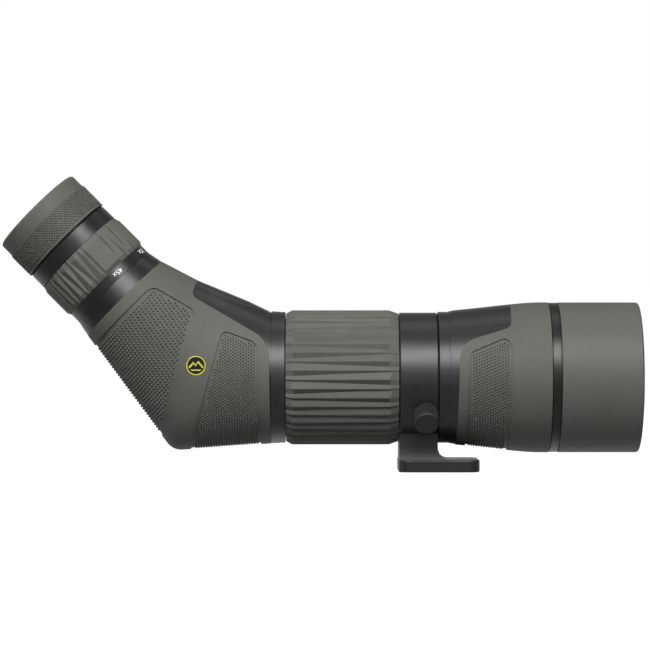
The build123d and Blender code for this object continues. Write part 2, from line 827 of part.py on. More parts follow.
badge_face = side_width(badge_x, badge_z) + 0.15
with BuildPart() as rear_armour:
    add(housing_shape(0.0))
    add(rear_metal, mode=Mode.SUBTRACT)
    add(metal_surface, mode=Mode.SUBTRACT)
    turn(
        optical,
        (loft_front - 0.5, 0),
        (loft_front - 0.5, housing_radius + rim_bump),
        (housing_front, housing_radius + rim_bump),
        (housing_front, 0),
        mode=Mode.SUBTRACT,
    )
    badge_seat = across(badge_x, badge_z, badge_face - badge_thickness, 40, -1, badge_radius)
    add(badge_seat, mode=Mode.SUBTRACT)
rear_armour.part.label = "rear_armour"
export_step(rear_armour.part, "parts/rear_armour.step")

with BuildPart() as badge:
    add(across(badge_x, badge_z, badge_face - badge_thickness, badge_face, -1, badge_radius))
badge.part.label = "badge"
export_step(badge.part, "parts/badge.step")


# ---------------------------------------------------------------- roof prism and its cage
# The entrance face looks along the optical axis and the exit face along the eyepiece. They meet at
# the top, and the roof's edge joins their far ends.
prism_top = at_side(elbow_x + prism_setback, axis_height + prism_setback * (1 + s) / c)
prism_front = prism_top - at_side(0, prism_face)
prism_rear = prism_top - neck_side * prism_face
roof_run = (prism_rear - prism_front).normalized()
roof_length = (prism_rear - prism_front).length


def prism_outline(border):
    """The prism's side view, grown by a border."""
    with BuildSketch(Plane.XZ, mode=Mode.PRIVATE) as section:
        with BuildLine():
            Polyline(*[(p.X, p.Z) for p in (prism_top, prism_front, prism_rear)], close=True)
        make_face()
        if border:
            offset(amount=border, kind=Kind.INTERSECTION)
    return section.sketch


with BuildPart() as roof_prism:
    add(extrude(prism_outline(0), prism_half_width, both=True, mode=Mode.PRIVATE))
    gable_start = prism_front - roof_run * roof_length
    with BuildSketch(Plane(origin=gable_start, x_dir=(0, -1, 0), z_dir=roof_run)) as gable:
        with BuildLine():
            Polyline(
                (0, 0),
                (prism_half_width, prism_half_width),
                (prism_half_width, 2 * prism_face),
                (-prism_half_width, 2 * prism_face),
                (-prism_half_width, prism_half_width),
                close=True,
            )
        make_face()
    extrude(gable.sketch, 3 * roof_length, mode=Mode.INTERSECT)
roof_prism.part.label = "roof_prism"
export_step(roof_prism.part, "parts/roof_prism.step")

window_radius = prism_half_width - 1.2
cage_outline = prism_outline(cage_wall)
with BuildPart() as prism_cage:
    with BuildPart(mode=Mode.PRIVATE) as cage_block:
        add(extrude(cage_outline, prism_half_width + cheek, mode=Mode.PRIVATE))
        add(extrude(cage_outline, -prism_half_width, mode=Mode.PRIVATE))
    add(cage_block.part)
    add(extrude(prism_outline(0), prism_half_width, both=True, mode=Mode.PRIVATE), mode=Mode.SUBTRACT)
    tube(optical, elbow_x + prism_setback - 1, elbow_x + prism_setback + 9, 0, window_radius, Mode.SUBTRACT)
    tube(ocular, prism_setback - 1, prism_setback + 9, 0, window_radius, Mode.SUBTRACT)
    for x, z in cheek_points:
        add(across(x, z, prism_half_width, 20, -1, screw_shank), mode=Mode.SUBTRACT)
prism_cage.part.label = "prism_cage"
export_step(prism_cage.part, "parts/prism_cage.step")

with BuildPart() as prism_side_plate:
    with BuildPart(mode=Mode.PRIVATE) as plate_block:
        add(extrude(cage_outline, -prism_half_width - plate_thickness, mode=Mode.PRIVATE))
        add(extrude(cage_outline, -prism_half_width, mode=Mode.PRIVATE), mode=Mode.SUBTRACT)
    add(plate_block.part)
    for x, z in cheek_points:
        add(across(x, z, prism_half_width, 20, 1, screw_shank), mode=Mode.SUBTRACT)
prism_side_plate.part.label = "prism_side_plate"
export_step(prism_side_plate.part, "parts/prism_side_plate.step")

with BuildPart() as prism_screws:
    for side, start in sides.items():
        for x, z in cheek_points:
            add(across(x, z, prism_half_width + 0.2, boss_face, side, screw_shank))
            add(across(x, z, boss_face, boss_face + screw_head_height, side, screw_head))
prism_screws.part.label = "prism_screws"
export_step(prism_screws.part, "parts/prism_screws.step")


# ================================================================ eyepiece
zoom_bore = zoom_barrel_radius + run_clearance
scale_end = zoom_start + zoom_scale_length
barrel_start = neck_distance - 6.0
barrel_seat = top_start + 1.6  # the zoom barrel ends and the eyecup's guide begins here
front_pin = zoom_start + 6.8
rear_pin = zoom_end - 5.7
front_pin_angles = (0, 180)
rear_pin_angles = (90, 270)
zoom_slot = 2 * (zoom_pin_radius + run_clearance)
zoom_groove = 1.5
zoom_pin_tip = zoom_bore + zoom_groove - groove_clearance
zoom_pin_root = zoom_barrel_bore - 3.0
groove_pad = 4  # degrees of groove past each end of the turn

with BuildPart() as eyepiece_base:
    turn(
        ocular,
        (neck_distance - neck_thread, zoom_barrel_radius),
        (neck_distance - neck_thread, base_spigot),
        (neck_distance, base_spigot),
        (neck_distance, neck_radius - 0.1),
        (base_front, scale_radius),
        (base_front, zoom_barrel_radius),
    )
eyepiece_base.part.label = "eyepiece_base"
export_step(eyepiece_base.part, "parts/eyepiece_base.step")


def pin_range(station, rate):
    """Lowest and highest place of a guide pin over the zoom ring's turn."""
    ends = [station + rate * angle for angle in zoom_turn]
    return min(ends), max(ends)


with BuildPart() as zoom_barrel:
    tube(ocular, barrel_start, barrel_seat, zoom_barrel_bore, zoom_barrel_radius)
    for station, rate, angles in (
        (front_pin, zoom_front_rate, front_pin_angles),
        (rear_pin, zoom_rear_rate, rear_pin_angles),
    ):
        low, high = pin_range(station, rate)
        straight_slots(
            ocular, low, high, angles, zoom_barrel_bore - 3, zoom_barrel_radius + 3, zoom_slot
        )
zoom_barrel.part.label = "zoom_barrel"
export_step(zoom_barrel.part, "parts/zoom_barrel.step")

with BuildPart() as field_stop:
    tube(ocular, barrel_start + 0.6, barrel_start + 1.8, 10.5, zoom_barrel_bore)
field_stop.part.label = "field_stop"
export_step(field_stop.part, "parts/field_stop.step")

with BuildPart() as zoom_ring:
    turn(
        ocular,
        (zoom_start, zoom_bore),
        (zoom_start, scale_radius),
        (scale_end, scale_radius),
        (scale_end, zoom_sleeve_radius),
        (zoom_end, zoom_sleeve_radius),
        (zoom_end, zoom_bore),
    )
    for station, rate, angles in (
        (front_pin, zoom_front_rate, front_pin_angles),
        (rear_pin, zoom_rear_rate, rear_pin_angles),
    ):
        helical_grooves(
            ocular, station, angles, -zoom_turn[1] - groove_pad, -zoom_turn[0] + groove_pad, -rate,
            zoom_bore, zoom_groove, 2 * (zoom_pin_radius + groove_clearance),
        )
zoom_ring.part.label = "zoom_ring"
export_step(zoom_ring.part, "parts/zoom_ring.step")

with BuildPart() as zoom_grip:
    turn(
        ocular,
        (scale_end, zoom_sleeve_radius),
        (scale_end, zoom_grip_radius - 0.6),
        (scale_end + 0.6, zoom_grip_radius),
        (zoom_end - 0.6, zoom_grip_radius),
        (zoom_end, zoom_grip_radius - 0.6),
        (zoom_end, zoom_sleeve_radius),
    )
zoom_grip.part.label = "zoom_grip"
export_step(zoom_grip.part, "parts/zoom_grip.step")


def zoom_cell(pin, start, end, lens_start, lens_radius, angles):
    """A lens cell that slides in the zoom barrel, with holes for its guide pins."""
    turn(
        ocular,
        (start, lens_radius - 1.2),
        (start, zoom_barrel_bore - run_clearance),
        (end, zoom_barrel_bore - run_clearance),
        (end, lens_radius),
        (lens_start, lens_radius),
        (lens_start, lens_radius - 1.2),
    )
    radial_pins(ocular, pin, angles, zoom_pin_root, zoom_pin_tip, zoom_pin_radius, Mode.SUBTRACT)


front_cell_start = front_pin - 7.0
front_cell_end = front_pin + 2.2
zoom_lens_radius = 12.0
with BuildPart() as zoom_front_cell:
    zoom_cell(
        front_pin, front_cell_start, front_cell_end, front_cell_start + 1.2, zoom_lens_radius,
        front_pin_angles,
    )
zoom_front_cell.part.label = "zoom_front_cell"
export_step(zoom_front_cell.part, "parts/zoom_front_cell.step")

with BuildPart() as zoom_front_pins:
    radial_pins(ocular, front_pin, front_pin_angles, zoom_pin_root, zoom_pin_tip, zoom_pin_radius)
zoom_front_pins.part.label = "zoom_front_pins"
export_step(zoom_front_pins.part, "parts/zoom_front_pins.step")

with BuildPart() as zoom_front_lens:
    disc_lens(ocular, front_cell_start + 1.2, 4.4, zoom_lens_radius, -0.9, -1.1)
zoom_front_lens.part.label = "zoom_front_lens"
export_step(zoom_front_lens.part, "parts/zoom_front_lens.step")

rear_cell_start = rear_pin - 2.0
rear_cell_end = rear_pin + 6.0
rear_lens_radius = 14.0
with BuildPart() as zoom_rear_cell:
    zoom_cell(
        rear_pin, rear_cell_start, rear_cell_end, rear_cell_start + 1.2, rear_lens_radius,
        rear_pin_angles,
    )
zoom_rear_cell.part.label = "zoom_rear_cell"
export_step(zoom_rear_cell.part, "parts/zoom_rear_cell.step")

with BuildPart() as zoom_rear_pins:
    radial_pins(ocular, rear_pin, rear_pin_angles, zoom_pin_root, zoom_pin_tip, zoom_pin_radius)
zoom_rear_pins.part.label = "zoom_rear_pins"
export_step(zoom_rear_pins.part, "parts/zoom_rear_pins.step")

with BuildPart() as zoom_rear_lens:
    disc_lens(ocular, rear_cell_start + 1.2, 3.2, rear_lens_radius, 0.7, 1.3)
zoom_rear_lens.part.label = "zoom_rear_lens"
export_step(zoom_rear_lens.part, "parts/zoom_rear_lens.step")

with BuildPart() as eyepiece_top:
    turn(
        ocular,
        (top_start, zoom_barrel_radius),
        (top_start, top_ring_radius),
        (top_end - 0.4, top_ring_radius - 0.1),
        (top_end, top_ring_radius - 0.5),
        (top_end, guide_radius),
        (barrel_seat, guide_radius),
        (barrel_seat, zoom_barrel_radius),
    )
eyepiece_top.part.label = "eyepiece_top"
export_step(eyepiece_top.part, "parts/eyepiece_top.step")

cup_pin = eyecup_start + 3.2
cup_pin_radius = 1.2
cup_pin_angles = (0, 180)
cup_groove = 1.1
guide_end = barrel_seat + guide_length
with BuildPart() as eyecup_guide:
    tube(ocular, barrel_seat, guide_end, guide_bore, guide_radius)
    helical_grooves(
        ocular, cup_pin, cup_pin_angles, -groove_pad - 2, eyecup_turn + groove_pad + 2,
        eyecup_lift / eyecup_turn, guide_radius, cup_groove,
        2 * (cup_pin_radius + groove_clearance), outside=True,
    )
eyecup_guide.part.label = "eyecup_guide"
export_step(eyecup_guide.part, "parts/eyecup_guide.step")

eye_cell_start = barrel_seat + 3.0
eye_lens_radius = 16.0
eye_ledge = 2.0
inner_edge = 6.0
eye_gap = 4.0
outer_edge = 3.0
eye_retainer_length = 2.4
inner_lens_start = eye_cell_start + eye_ledge
eye_spacer_start = inner_lens_start + inner_edge
outer_lens_start = eye_spacer_start + eye_gap
eye_retainer_start = outer_lens_start + outer_edge
eye_cell_end = eye_retainer_start + eye_retainer_length
with BuildPart() as eye_lens_cell:
    turn(
        ocular,
        (eye_cell_start, eye_lens_radius - 1.4),
        (eye_cell_start, guide_bore),
        (eye_cell_end, guide_bore),
        (eye_cell_end, eye_lens_radius),
        (inner_lens_start, eye_lens_radius),
        (inner_lens_start, eye_lens_radius - 1.4),
    )
eye_lens_cell.part.label = "eye_lens_cell"
export_step(eye_lens_cell.part, "parts/eye_lens_cell.step")

with BuildPart() as eye_lens_inner:
    disc_lens(ocular, inner_lens_start, inner_edge, eye_lens_radius, -1.0, 2.0)
eye_lens_inner.part.label = "eye_lens_inner"
export_step(eye_lens_inner.part, "parts/eye_lens_inner.step")

with BuildPart() as eye_lens_spacer:
    tube(ocular, eye_spacer_start, outer_lens_start, eye_lens_radius - 1.2, eye_lens_radius)
eye_lens_spacer.part.label = "eye_lens_spacer"
export_step(eye_lens_spacer.part, "parts/eye_lens_spacer.step")

with BuildPart() as eye_lens_outer:
    disc_lens(ocular, outer_lens_start, outer_edge, eye_lens_radius, 1.2, 1.8)
eye_lens_outer.part.label = "eye_lens_outer"
export_step(eye_lens_outer.part, "parts/eye_lens_outer.step")

with BuildPart() as eye_lens_retainer:
    tube(ocular, eye_retainer_start, eye_cell_end, eye_lens_radius - 1.4, eye_lens_radius)
eye_lens_retainer.part.label = "eye_lens_retainer"
export_step(eye_lens_retainer.part, "parts/eye_lens_retainer.step")


# ---------------------------------------------------------------- twist-up eyecup
cup_bore = guide_radius + run_clearance
cup_shell = 25.0
sleeve_end = eyecup_start + 15.4
glide_start = cup_pin + 1.9
glide_width = 2.8
glide_depth = 0.95
with BuildPart() as eyecup_sleeve:
    tube(ocular, eyecup_start, sleeve_end, cup_bore, cup_shell)
    tube(
        ocular, glide_start - run_clearance, glide_start + glide_width + run_clearance,
        cup_bore - 1, cup_bore + glide_depth + run_clearance, Mode.SUBTRACT,
    )
    radial_pins(ocular, cup_pin, cup_pin_angles, cup_bore - 1, cup_shell + 1, cup_pin_radius, Mode.SUBTRACT)
eyecup_sleeve.part.label = "eyecup_sleeve"
export_step(eyecup_sleeve.part, "parts/eyecup_sleeve.step")

with BuildPart() as eyecup_pins:
    pin_foot = guide_radius - cup_groove + 0.15
    radial_pins(ocular, cup_pin, cup_pin_angles, pin_foot, cup_shell - 0.2, cup_pin_radius)
eyecup_pins.part.label = "eyecup_pins"
export_step(eyecup_pins.part, "parts/eyecup_pins.step")

# The glide ring is split so that it can be sprung into the sleeve's groove.
with BuildPart() as eyecup_glide_ring:
    tube(ocular, glide_start, glide_start + glide_width, cup_bore, cup_bore + glide_depth)
    glide_mid = glide_start + glide_width / 2
    radial_pins(ocular, glide_mid, (90,), cup_bore - 2, cup_bore + 3, 1.6, Mode.SUBTRACT)
eyecup_glide_ring.part.label = "eyecup_glide_ring"
export_step(eyecup_glide_ring.part, "parts/eyecup_glide_ring.step")

grid_end = eyecup_start + 15.8
lip_radius = 26.4
lip_bore = 20.8
with BuildPart() as eyecup_rubber:
    turn(
        ocular,
        (eyecup_start, cup_shell),
        (eyecup_start, eyecup_radius - 0.5),
        (eyecup_start + 0.5, eyecup_radius),
        (grid_end - 0.3, eyecup_radius),
        (grid_end, lip_radius),
        (eyecup_end - 1.2, lip_radius),
        (eyecup_end - 0.4, lip_radius - 0.4),
        (eyecup_end, lip_radius - 1.3),
        (eyecup_end, lip_bore + 1.0),
        (eyecup_end - 0.9, lip_bore),
        (eyecup_end - 2.2, lip_bore + 0.2),
        (eyecup_end - 3.6, guide_radius + 0.6),
        (sleeve_end, guide_radius + 0.6),
        (sleeve_end, cup_shell),
    )
eyecup_rubber.part.label = "eyecup_rubber"
export_step(eyecup_rubber.part, "parts/eyecup_rubber.step")
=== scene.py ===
"""Looks of an angled spotting scope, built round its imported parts. Metres throughout."""

import json
from math import atan2, cos, pi, radians, sin, sqrt, tan

import bmesh
import bpy
from bpy.props import FloatProperty, FloatVectorProperty, IntProperty, PointerProperty
from mathutils import Matrix, Vector
from mathutils.bvhtree import BVHTree
from mathutils.geometry import interpolate_bezier


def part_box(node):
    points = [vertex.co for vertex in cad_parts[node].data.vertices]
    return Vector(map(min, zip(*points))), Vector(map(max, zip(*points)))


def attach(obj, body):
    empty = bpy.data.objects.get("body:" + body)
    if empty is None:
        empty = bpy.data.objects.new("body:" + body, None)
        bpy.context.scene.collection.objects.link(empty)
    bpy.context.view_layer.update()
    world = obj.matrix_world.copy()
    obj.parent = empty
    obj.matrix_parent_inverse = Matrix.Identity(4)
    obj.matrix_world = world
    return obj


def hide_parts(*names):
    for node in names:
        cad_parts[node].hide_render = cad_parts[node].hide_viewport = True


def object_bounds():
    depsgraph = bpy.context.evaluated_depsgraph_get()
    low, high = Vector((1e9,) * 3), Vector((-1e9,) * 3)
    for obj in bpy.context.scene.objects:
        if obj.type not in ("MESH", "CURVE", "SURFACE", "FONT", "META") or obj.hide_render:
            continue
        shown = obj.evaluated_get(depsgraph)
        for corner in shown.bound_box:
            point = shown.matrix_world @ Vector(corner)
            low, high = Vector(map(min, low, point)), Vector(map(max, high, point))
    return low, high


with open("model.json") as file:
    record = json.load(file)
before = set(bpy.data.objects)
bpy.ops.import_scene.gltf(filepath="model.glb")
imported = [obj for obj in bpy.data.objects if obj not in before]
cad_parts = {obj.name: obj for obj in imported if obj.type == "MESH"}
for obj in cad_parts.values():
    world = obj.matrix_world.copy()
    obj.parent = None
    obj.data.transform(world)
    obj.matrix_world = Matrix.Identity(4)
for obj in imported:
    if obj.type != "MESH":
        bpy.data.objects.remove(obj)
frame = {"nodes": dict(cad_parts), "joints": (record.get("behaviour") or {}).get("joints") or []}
CAD_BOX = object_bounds()
NODES = frame["nodes"]

bl_info = {
    "name": "Spotting Scope",
    "version": (1, 0, 0),
    "blender": (4, 5, 0),
    "location": "View3D > Sidebar > Scope",
    "description": "Builds the rubber armour, grips, markings and finishes of an angled spotting scope",
    "category": "Object",
}

MM = 0.001
TURN = 2 * pi


# ---------------------------------------------------------------- the two axes and what lies on them
def columns(origin, x, y, z):
    """A matrix that places local axes x, y and z at an origin."""
    place = Matrix((x, y, z)).transposed().to_4x4()
    place.translation = origin
    return place


def joint_axis(name):
    """Direction of a joint's axis."""
    return Vector(next(j["axis"] for j in frame["joints"] if j["name"] == name)).normalized()


NEAR = Vector((0, -1, 0))
ACROSS = Vector((0, 1, 0))
AHEAD = Vector((1, 0, 0))
UP = Vector((0, 0, 1))
TUBE_LOW, TUBE_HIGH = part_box("body_tube")
AXIS_Z = (TUBE_LOW.z + TUBE_HIGH.z) / 2
EYE = joint_axis("zoom_ring_turn")
TILT = atan2(-EYE.x, EYE.z)
BASE_LOW, BASE_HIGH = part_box("eyepiece_base")
BASE_MID = (BASE_LOW + BASE_HIGH) / 2
ELBOW = Vector((BASE_MID.x + (BASE_MID.z - AXIS_Z) * tan(TILT), 0, AXIS_Z))

# Local x runs along each axis, local z points to the near side.
OPTICAL = columns((0, 0, AXIS_Z), AHEAD, UP, NEAR)
OCULAR = columns(ELBOW, EYE, NEAR.cross(EYE), NEAR)


def span(node, axis):
    """Start, end, smallest and greatest radius of a node along an axis."""
    back = axis.inverted()
    points = [back @ v.co for v in NODES[node].data.vertices]
    stations = [p.x for p in points]
    radii = [sqrt(p.y * p.y + p.z * p.z) for p in points]
    return min(stations), max(stations), min(radii), max(radii)


# ---------------------------------------------------------------- sizes and colours a user would change
def length(name, description, millimetres):
    """A length that a user can set."""
    return FloatProperty(
        name=name, description=description, default=millimetres * MM, unit="LENGTH", precision=5
    )


def colour(name, description, value):
    """A colour that a user can set."""
    return FloatVectorProperty(
        name=name, description=description, default=value, size=3, subtype="COLOR", min=0, max=1
    )


class ScopeSizes(bpy.types.PropertyGroup):
    edge: length("Edge", "Rounding of machined edges", 0.25)
    soft_edge: length("Soft edge", "Rounding of rubber edges", 0.35)
    panel_depth: length("Panel depth", "How deep the grip panels are sunk", 0.8)
    groove_width: length("Groove width", "Groove round each grip panel", 0.6)
    bead_width: length("Bead width", "Raised bead inside that groove", 0.6)
    stud_pitch: length("Stud pitch", "Spacing of the studs round the eyepiece end", 2.1)
    stud_row: length("Stud row", "Spacing of their rows", 1.7)
    dot_pitch: length("Dot pitch", "Spacing of the small dots", 1.64)
    dot_row: length("Dot row", "Spacing of their rows", 1.36)
    pad_pitch: length("Pad pitch", "Spacing of the eyecup's pads round the cup", 1.87)
    pad_row: length("Pad row", "Spacing of every second row of the eyecup's pads", 1.75)
    focus_rib_depth: length("Focus rib depth", "Depth of the focus ring's ribs", 1.05)
    zoom_rib_depth: length("Zoom rib depth", "Depth of the zoom ring's ribs", 1.0)
    focus_ribs: IntProperty(name="Focus ribs", description="Ribs round the focus ring", default=46, min=8)
    knob_flutes: IntProperty(name="Knob flutes", description="Flutes round the lock knob", default=36, min=8)
    figure_height: length("Figure height", "Height of the zoom scale's figures", 2.9)


class ScopeColours(bpy.types.PropertyGroup):
    rubber: colour("Rubber", "Moulded armour and grips", (0.102, 0.101, 0.089))
    coat: colour("Coat", "Rubberised coat of the sunshade", (0.106, 0.105, 0.094))
    metal: colour("Metal", "Satin black castings", (0.019, 0.019, 0.02))
    anodised: colour("Anodised", "Black anodised rings and tubes", (0.014, 0.014, 0.015))
    plastic: colour("Plastic", "Black moulded plastic", (0.02, 0.02, 0.021))
    paint: colour("Paint", "Figures and index marks", (0.8, 0.8, 0.78))
    enamel: colour("Enamel", "Badge's rim and hill", (0.62, 0.58, 0.06))
    floor: colour("Floor", "Studio floor", (0.9, 0.9, 0.9))


# ---------------------------------------------------------------- bmesh shapes used more than once
def new_corners(result):
    """The vertices that an extrusion made."""
    return [v for v in result["geom"] if isinstance(v, bmesh.types.BMVert)]


def round_edges(bm, width, segments=2, least=radians(28)):
    """Round the edges whose two faces turn by more than an angle."""
    sharp = [e for e in bm.edges if e.is_manifold and e.calc_face_angle(0) > least]
    bmesh.ops.bevel(
        bm, geom=sharp, offset=width, offset_type="OFFSET", segments=segments, profile=0.5,
        affect="EDGES", clamp_overlap=True, material=-1,
    )


def turned(axis, outline, steps=192, rounding=0.0, closed=True):
    """A mesh spun about an axis from (station, radius) points; an open outline ends on the axis."""
    bm = bmesh.new()
    corners = [bm.verts.new((x, r, 0)) for x, r in outline]
    pairs = list(zip(corners, corners[1:]))
    if closed:
        pairs.append((corners[-1], corners[0]))
    edges = [bm.edges.new(pair) for pair in pairs]
    bmesh.ops.spin(
        bm, geom=corners + edges, cent=(0, 0, 0), axis=AHEAD, angle=TURN, steps=steps, use_merge=True
    )
    bmesh.ops.remove_doubles(bm, verts=bm.verts, dist=1e-7)
    bmesh.ops.recalc_face_normals(bm, faces=bm.faces)
    if rounding:
        round_edges(bm, rounding)
    bmesh.ops.transform(bm, matrix=axis, verts=bm.verts)
    return bm


def bridged(bm, rings):
    """Join each ring of vertices to the next one, and the last to the first."""
    for ring, following in zip(rings, rings[1:] + rings[:1]):
        pair = (set(ring), set(following))
        loops = [e for e in bm.edges if any(side.issuperset(e.verts) for side in pair)]
        bmesh.ops.bridge_loops(bm, edges=loops)
    bmesh.ops.recalc_face_normals(bm, faces=bm.faces)


CUT_REACH = 60 * MM


def side_face(bm, outline, rounding):
    """A flat face in the side view, beyond the near side, with each corner rounded by its own radius."""
    corners = [bm.verts.new((x, -CUT_REACH, z)) for x, z in outline]
    bm.faces.new(corners)
    for corner, radius in zip(corners, rounding):
        if radius:
            bmesh.ops.bevel(
                bm, geom=[corner], offset=radius, offset_type="OFFSET", segments=8,
                profile=0.5, affect="VERTICES", material=-1,
            )
    return max(bm.faces, key=lambda f: f.calc_area())


def carried_through(bm, faces, depth):
    """Extrude flat faces across the object, and close the solids."""
    grown = bmesh.ops.extrude_face_region(bm, geom=faces, use_keep_orig=True)
    bmesh.ops.translate(bm, vec=ACROSS * depth, verts=new_corners(grown))
    bmesh.ops.recalc_face_normals(bm, faces=bm.faces)


def prism(outline, rounding):
    """A solid with a side-view outline that passes right through the object."""
    bm = bmesh.new()
    carried_through(bm, [side_face(bm, outline, rounding)], 2 * CUT_REACH)
    return bm


def panel_cutter(outline, rounding, groove, bead):
    """Solids through the object for a grip panel: a narrow groove, then the field inside a bead."""
    bm = bmesh.new()
    face = side_face(bm, outline, rounding)
    bmesh.ops.inset_region(bm, faces=[face], thickness=groove, use_even_offset=True)
    ring = [f for f in bm.faces if f is not face]
    made = bmesh.ops.inset_region(bm, faces=[face], thickness=bead, use_even_offset=True)
    bmesh.ops.delete(bm, geom=made["faces"], context="FACES_ONLY")
    carried_through(bm, ring + [face], 2 * CUT_REACH)
    return bm


def plain_mesh(name, bm):
    """A mesh from a bmesh, which is then freed."""
    mesh = bpy.data.meshes.new(name)
    bm.to_mesh(mesh)
    bm.free()
    return mesh


def combined(bm, *steps):
    """The bmesh after Boolean steps of (operation, other bmesh)."""
    scratch = bpy.data.objects.new("scratch", plain_mesh("scratch", bm))
    bpy.context.scene.collection.objects.link(scratch)
    tools = []
    for operation, other in steps:
        tool = bpy.data.objects.new("tool", plain_mesh("tool", other))
        bpy.context.scene.collection.objects.link(tool)
        cut = scratch.modifiers.new(operation.title(), "BOOLEAN")
        cut.operation = operation
        cut.solver = "EXACT"
        cut.object = tool
        tools.append(tool)
    solved = scratch.evaluated_get(bpy.context.evaluated_depsgraph_get())
    result = bmesh.new()
    result.from_mesh(solved.to_mesh())
    if not result.faces:
        raise RuntimeError("a Boolean step left nothing")
    for spare in tools + [scratch]:
        bpy.data.objects.remove(spare)
    bmesh.ops.dissolve_degenerate(result, dist=1e-6, edges=result.edges)
    return result


def piece(name, bm, body, materials, replaced=(), sharp=radians(32), flat=False):
    """Finish a mesh as a named piece that rides on a body and stands for CAD nodes."""
    mesh = plain_mesh(name, bm)
    mesh.polygons.foreach_set("use_smooth", [not flat] * len(mesh.polygons))
    if not flat:
        mesh.set_sharp_from_angle(angle=sharp)
    for material in materials:
        mesh.materials.append(bpy.data.materials[material])
    obj = bpy.data.objects.new(name, mesh)
    bpy.context.scene.collection.objects.link(obj)
    if not flat:
        weighted = obj.modifiers.new("Weighted normals", "WEIGHTED_NORMAL")
        weighted.keep_sharp = True
        weighted.mode = "FACE_AREA"
    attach(obj, body)
    if replaced:
        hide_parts(*replaced)
    return obj


def stamped(bm, stamp, places):
    """Add a copy of a small mesh to a bmesh at each place."""
    corners = [v.co.copy() for v in stamp.vertices]
    for place in places:
        for vertex, corner in zip(stamp.vertices, corners):
            vertex.co = place @ corner
        bm.from_mesh(stamp)


def dome(radius, height, stretch, crown):
    """A small rounded stud that stands on its base's centre, outwards along z."""
    bm = bmesh.new()
    bmesh.ops.create_cone(
        bm, cap_ends=True, segments=8, radius1=radius, radius2=radius * crown, depth=height
    )
    bmesh.ops.scale(bm, vec=(stretch, 1, 1), verts=bm.verts)
    top = max(bm.faces, key=lambda f: f.calc_center_median().z)
    bmesh.ops.inset_region(bm, faces=[top], thickness=radius * crown * 0.4, depth=height * 0.22)
    bmesh.ops.translate(bm, vec=UP * height * 0.25, verts=bm.verts)
    bmesh.ops.recalc_face_normals(bm, faces=bm.faces)
    return plain_mesh("stud", bm)


def inside(x, z, outline, margin):
    """True if a side-view point is inside a convex clockwise outline by a margin."""
    for (ax, az), (bx, bz) in zip(outline, outline[1:] + outline[:1]):
        reach = sqrt((bx - ax) ** 2 + (bz - az) ** 2)
        if ((bz - az) * (x - ax) - (bx - ax) * (z - az)) / reach < margin:
            return False
    return True


def round_section(surface, centre, normal, spacing, shift):
    """(point, outward normal, tangent) at equal steps along a surface's section by a plane."""
    down = ACROSS.cross(normal).normalized()
    if down.z > 0:
        down = -down
    found = []
    steps = 360
    for side in (1, -1):
        walked = 0.0
        next_stop = spacing * shift
        before = None
        for k in range(steps + 1):
            angle = pi * k / steps
            ray = down * cos(angle) + ACROSS * side * sin(angle)
            point, facing, _, _ = surface.ray_cast(centre, ray)
            if point is None:
                before = None
                continue
            if before is not None:
                step = (point - before).length
                while walked + step >= next_stop:
                    share = (next_stop - walked) / step
                    stop = before.lerp(point, share)
                    if side == 1 or next_stop > 0:
                        found.append((stop, facing, (point - before).normalized()))
                    next_stop += spacing
                walked += step
            before = point
    return found


def fill_panel(bm, surface, sections, outline, sizes, pitch, stud, gap, staggered):
    """Stand studs on a surface's sections, inside a side-view outline and clear of its bead."""
    margin = sizes.groove_width + sizes.bead_width + gap
    places = []
    for row, (centre, normal) in enumerate(sections):
        shift = 0.5 if staggered and row % 2 else 0.0
        for point, facing, tangent in round_section(surface, centre, normal, pitch, shift):
            if inside(point.x, point.z, outline, margin):
                out = facing.normalized()
                if out.dot(point - centre) < 0:
                    out = -out
                along = (tangent - out * tangent.dot(out)).normalized()
                places.append(columns(point - out * STUD_SINK, along, out.cross(along), out))
    stamped(bm, dome(*stud), places)


def fill_dots(bm, surface, outline, sizes, height):
    """Fill a panel with staggered rows of small dots, from its rear foot to its front corner."""
    first, last = outline[-1][0], outline[2][0]
    rows = range(1, int((last - first) / sizes.dot_row) + 1)
    sections = [(Vector((first + sizes.dot_row * k, 0, height)), AHEAD) for k in rows]
    fill_panel(bm, surface, sections, outline, sizes, sizes.dot_pitch, DOT, DOT_GAP, True)


# Radius, height, stretch round the body and share of the radius left at the top.
STUD = (0.92 * MM, 0.75 * MM, 1.1, 0.42)
DOT = (0.68 * MM, 0.72 * MM, 1.0, 0.45)
STUD_SINK = 0.1 * MM
STUD_GAP = 0.8 * MM
DOT_GAP = 0.45 * MM


# ---------------------------------------------------------------- prism housing's form
NECK_DISTANCE = span("prism_housing", OCULAR)[1]
NECK_RADIUS = 28 * MM
RIM_LENGTH = 6.7 * MM
HOUSING_RADIUS = 35.3 * MM
HOUSING_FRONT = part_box("prism_housing")[1].x
LOFT_FRONT = HOUSING_FRONT - RIM_LENGTH
ARMOUR_WALL = 2.2 * MM
HOUSING_WALL = 2.0 * MM
SKIN_DROP = 0.9 * MM
SPINE_HALF_WIDTH = 9.0 * MM
UNDER = NEAR.cross(EYE)
NECK = ELBOW + EYE * NECK_DISTANCE
FAN = NECK - UNDER * ((LOFT_FRONT - NECK.x) / cos(TILT))
HEEL = (NECK + UNDER * NECK_RADIUS, ELBOW + Vector((-16.4, 0, -39.1)) * MM,
        Vector((LOFT_FRONT, 0, AXIS_Z - HOUSING_RADIUS)))
SADDLE = (NECK - UNDER * NECK_RADIUS, ELBOW + Vector((-3.0, 0, 51.8)) * MM,
          Vector((LOFT_FRONT, 0, AXIS_Z + HOUSING_RADIUS)))
HEEL_RADIUS = 9 * MM
SADDLE_RADIUS = 60 * MM


def fan_ray(angle):
    """Direction from the fan's line into the housing."""
    return Vector((-sin(angle), 0, -cos(angle)))


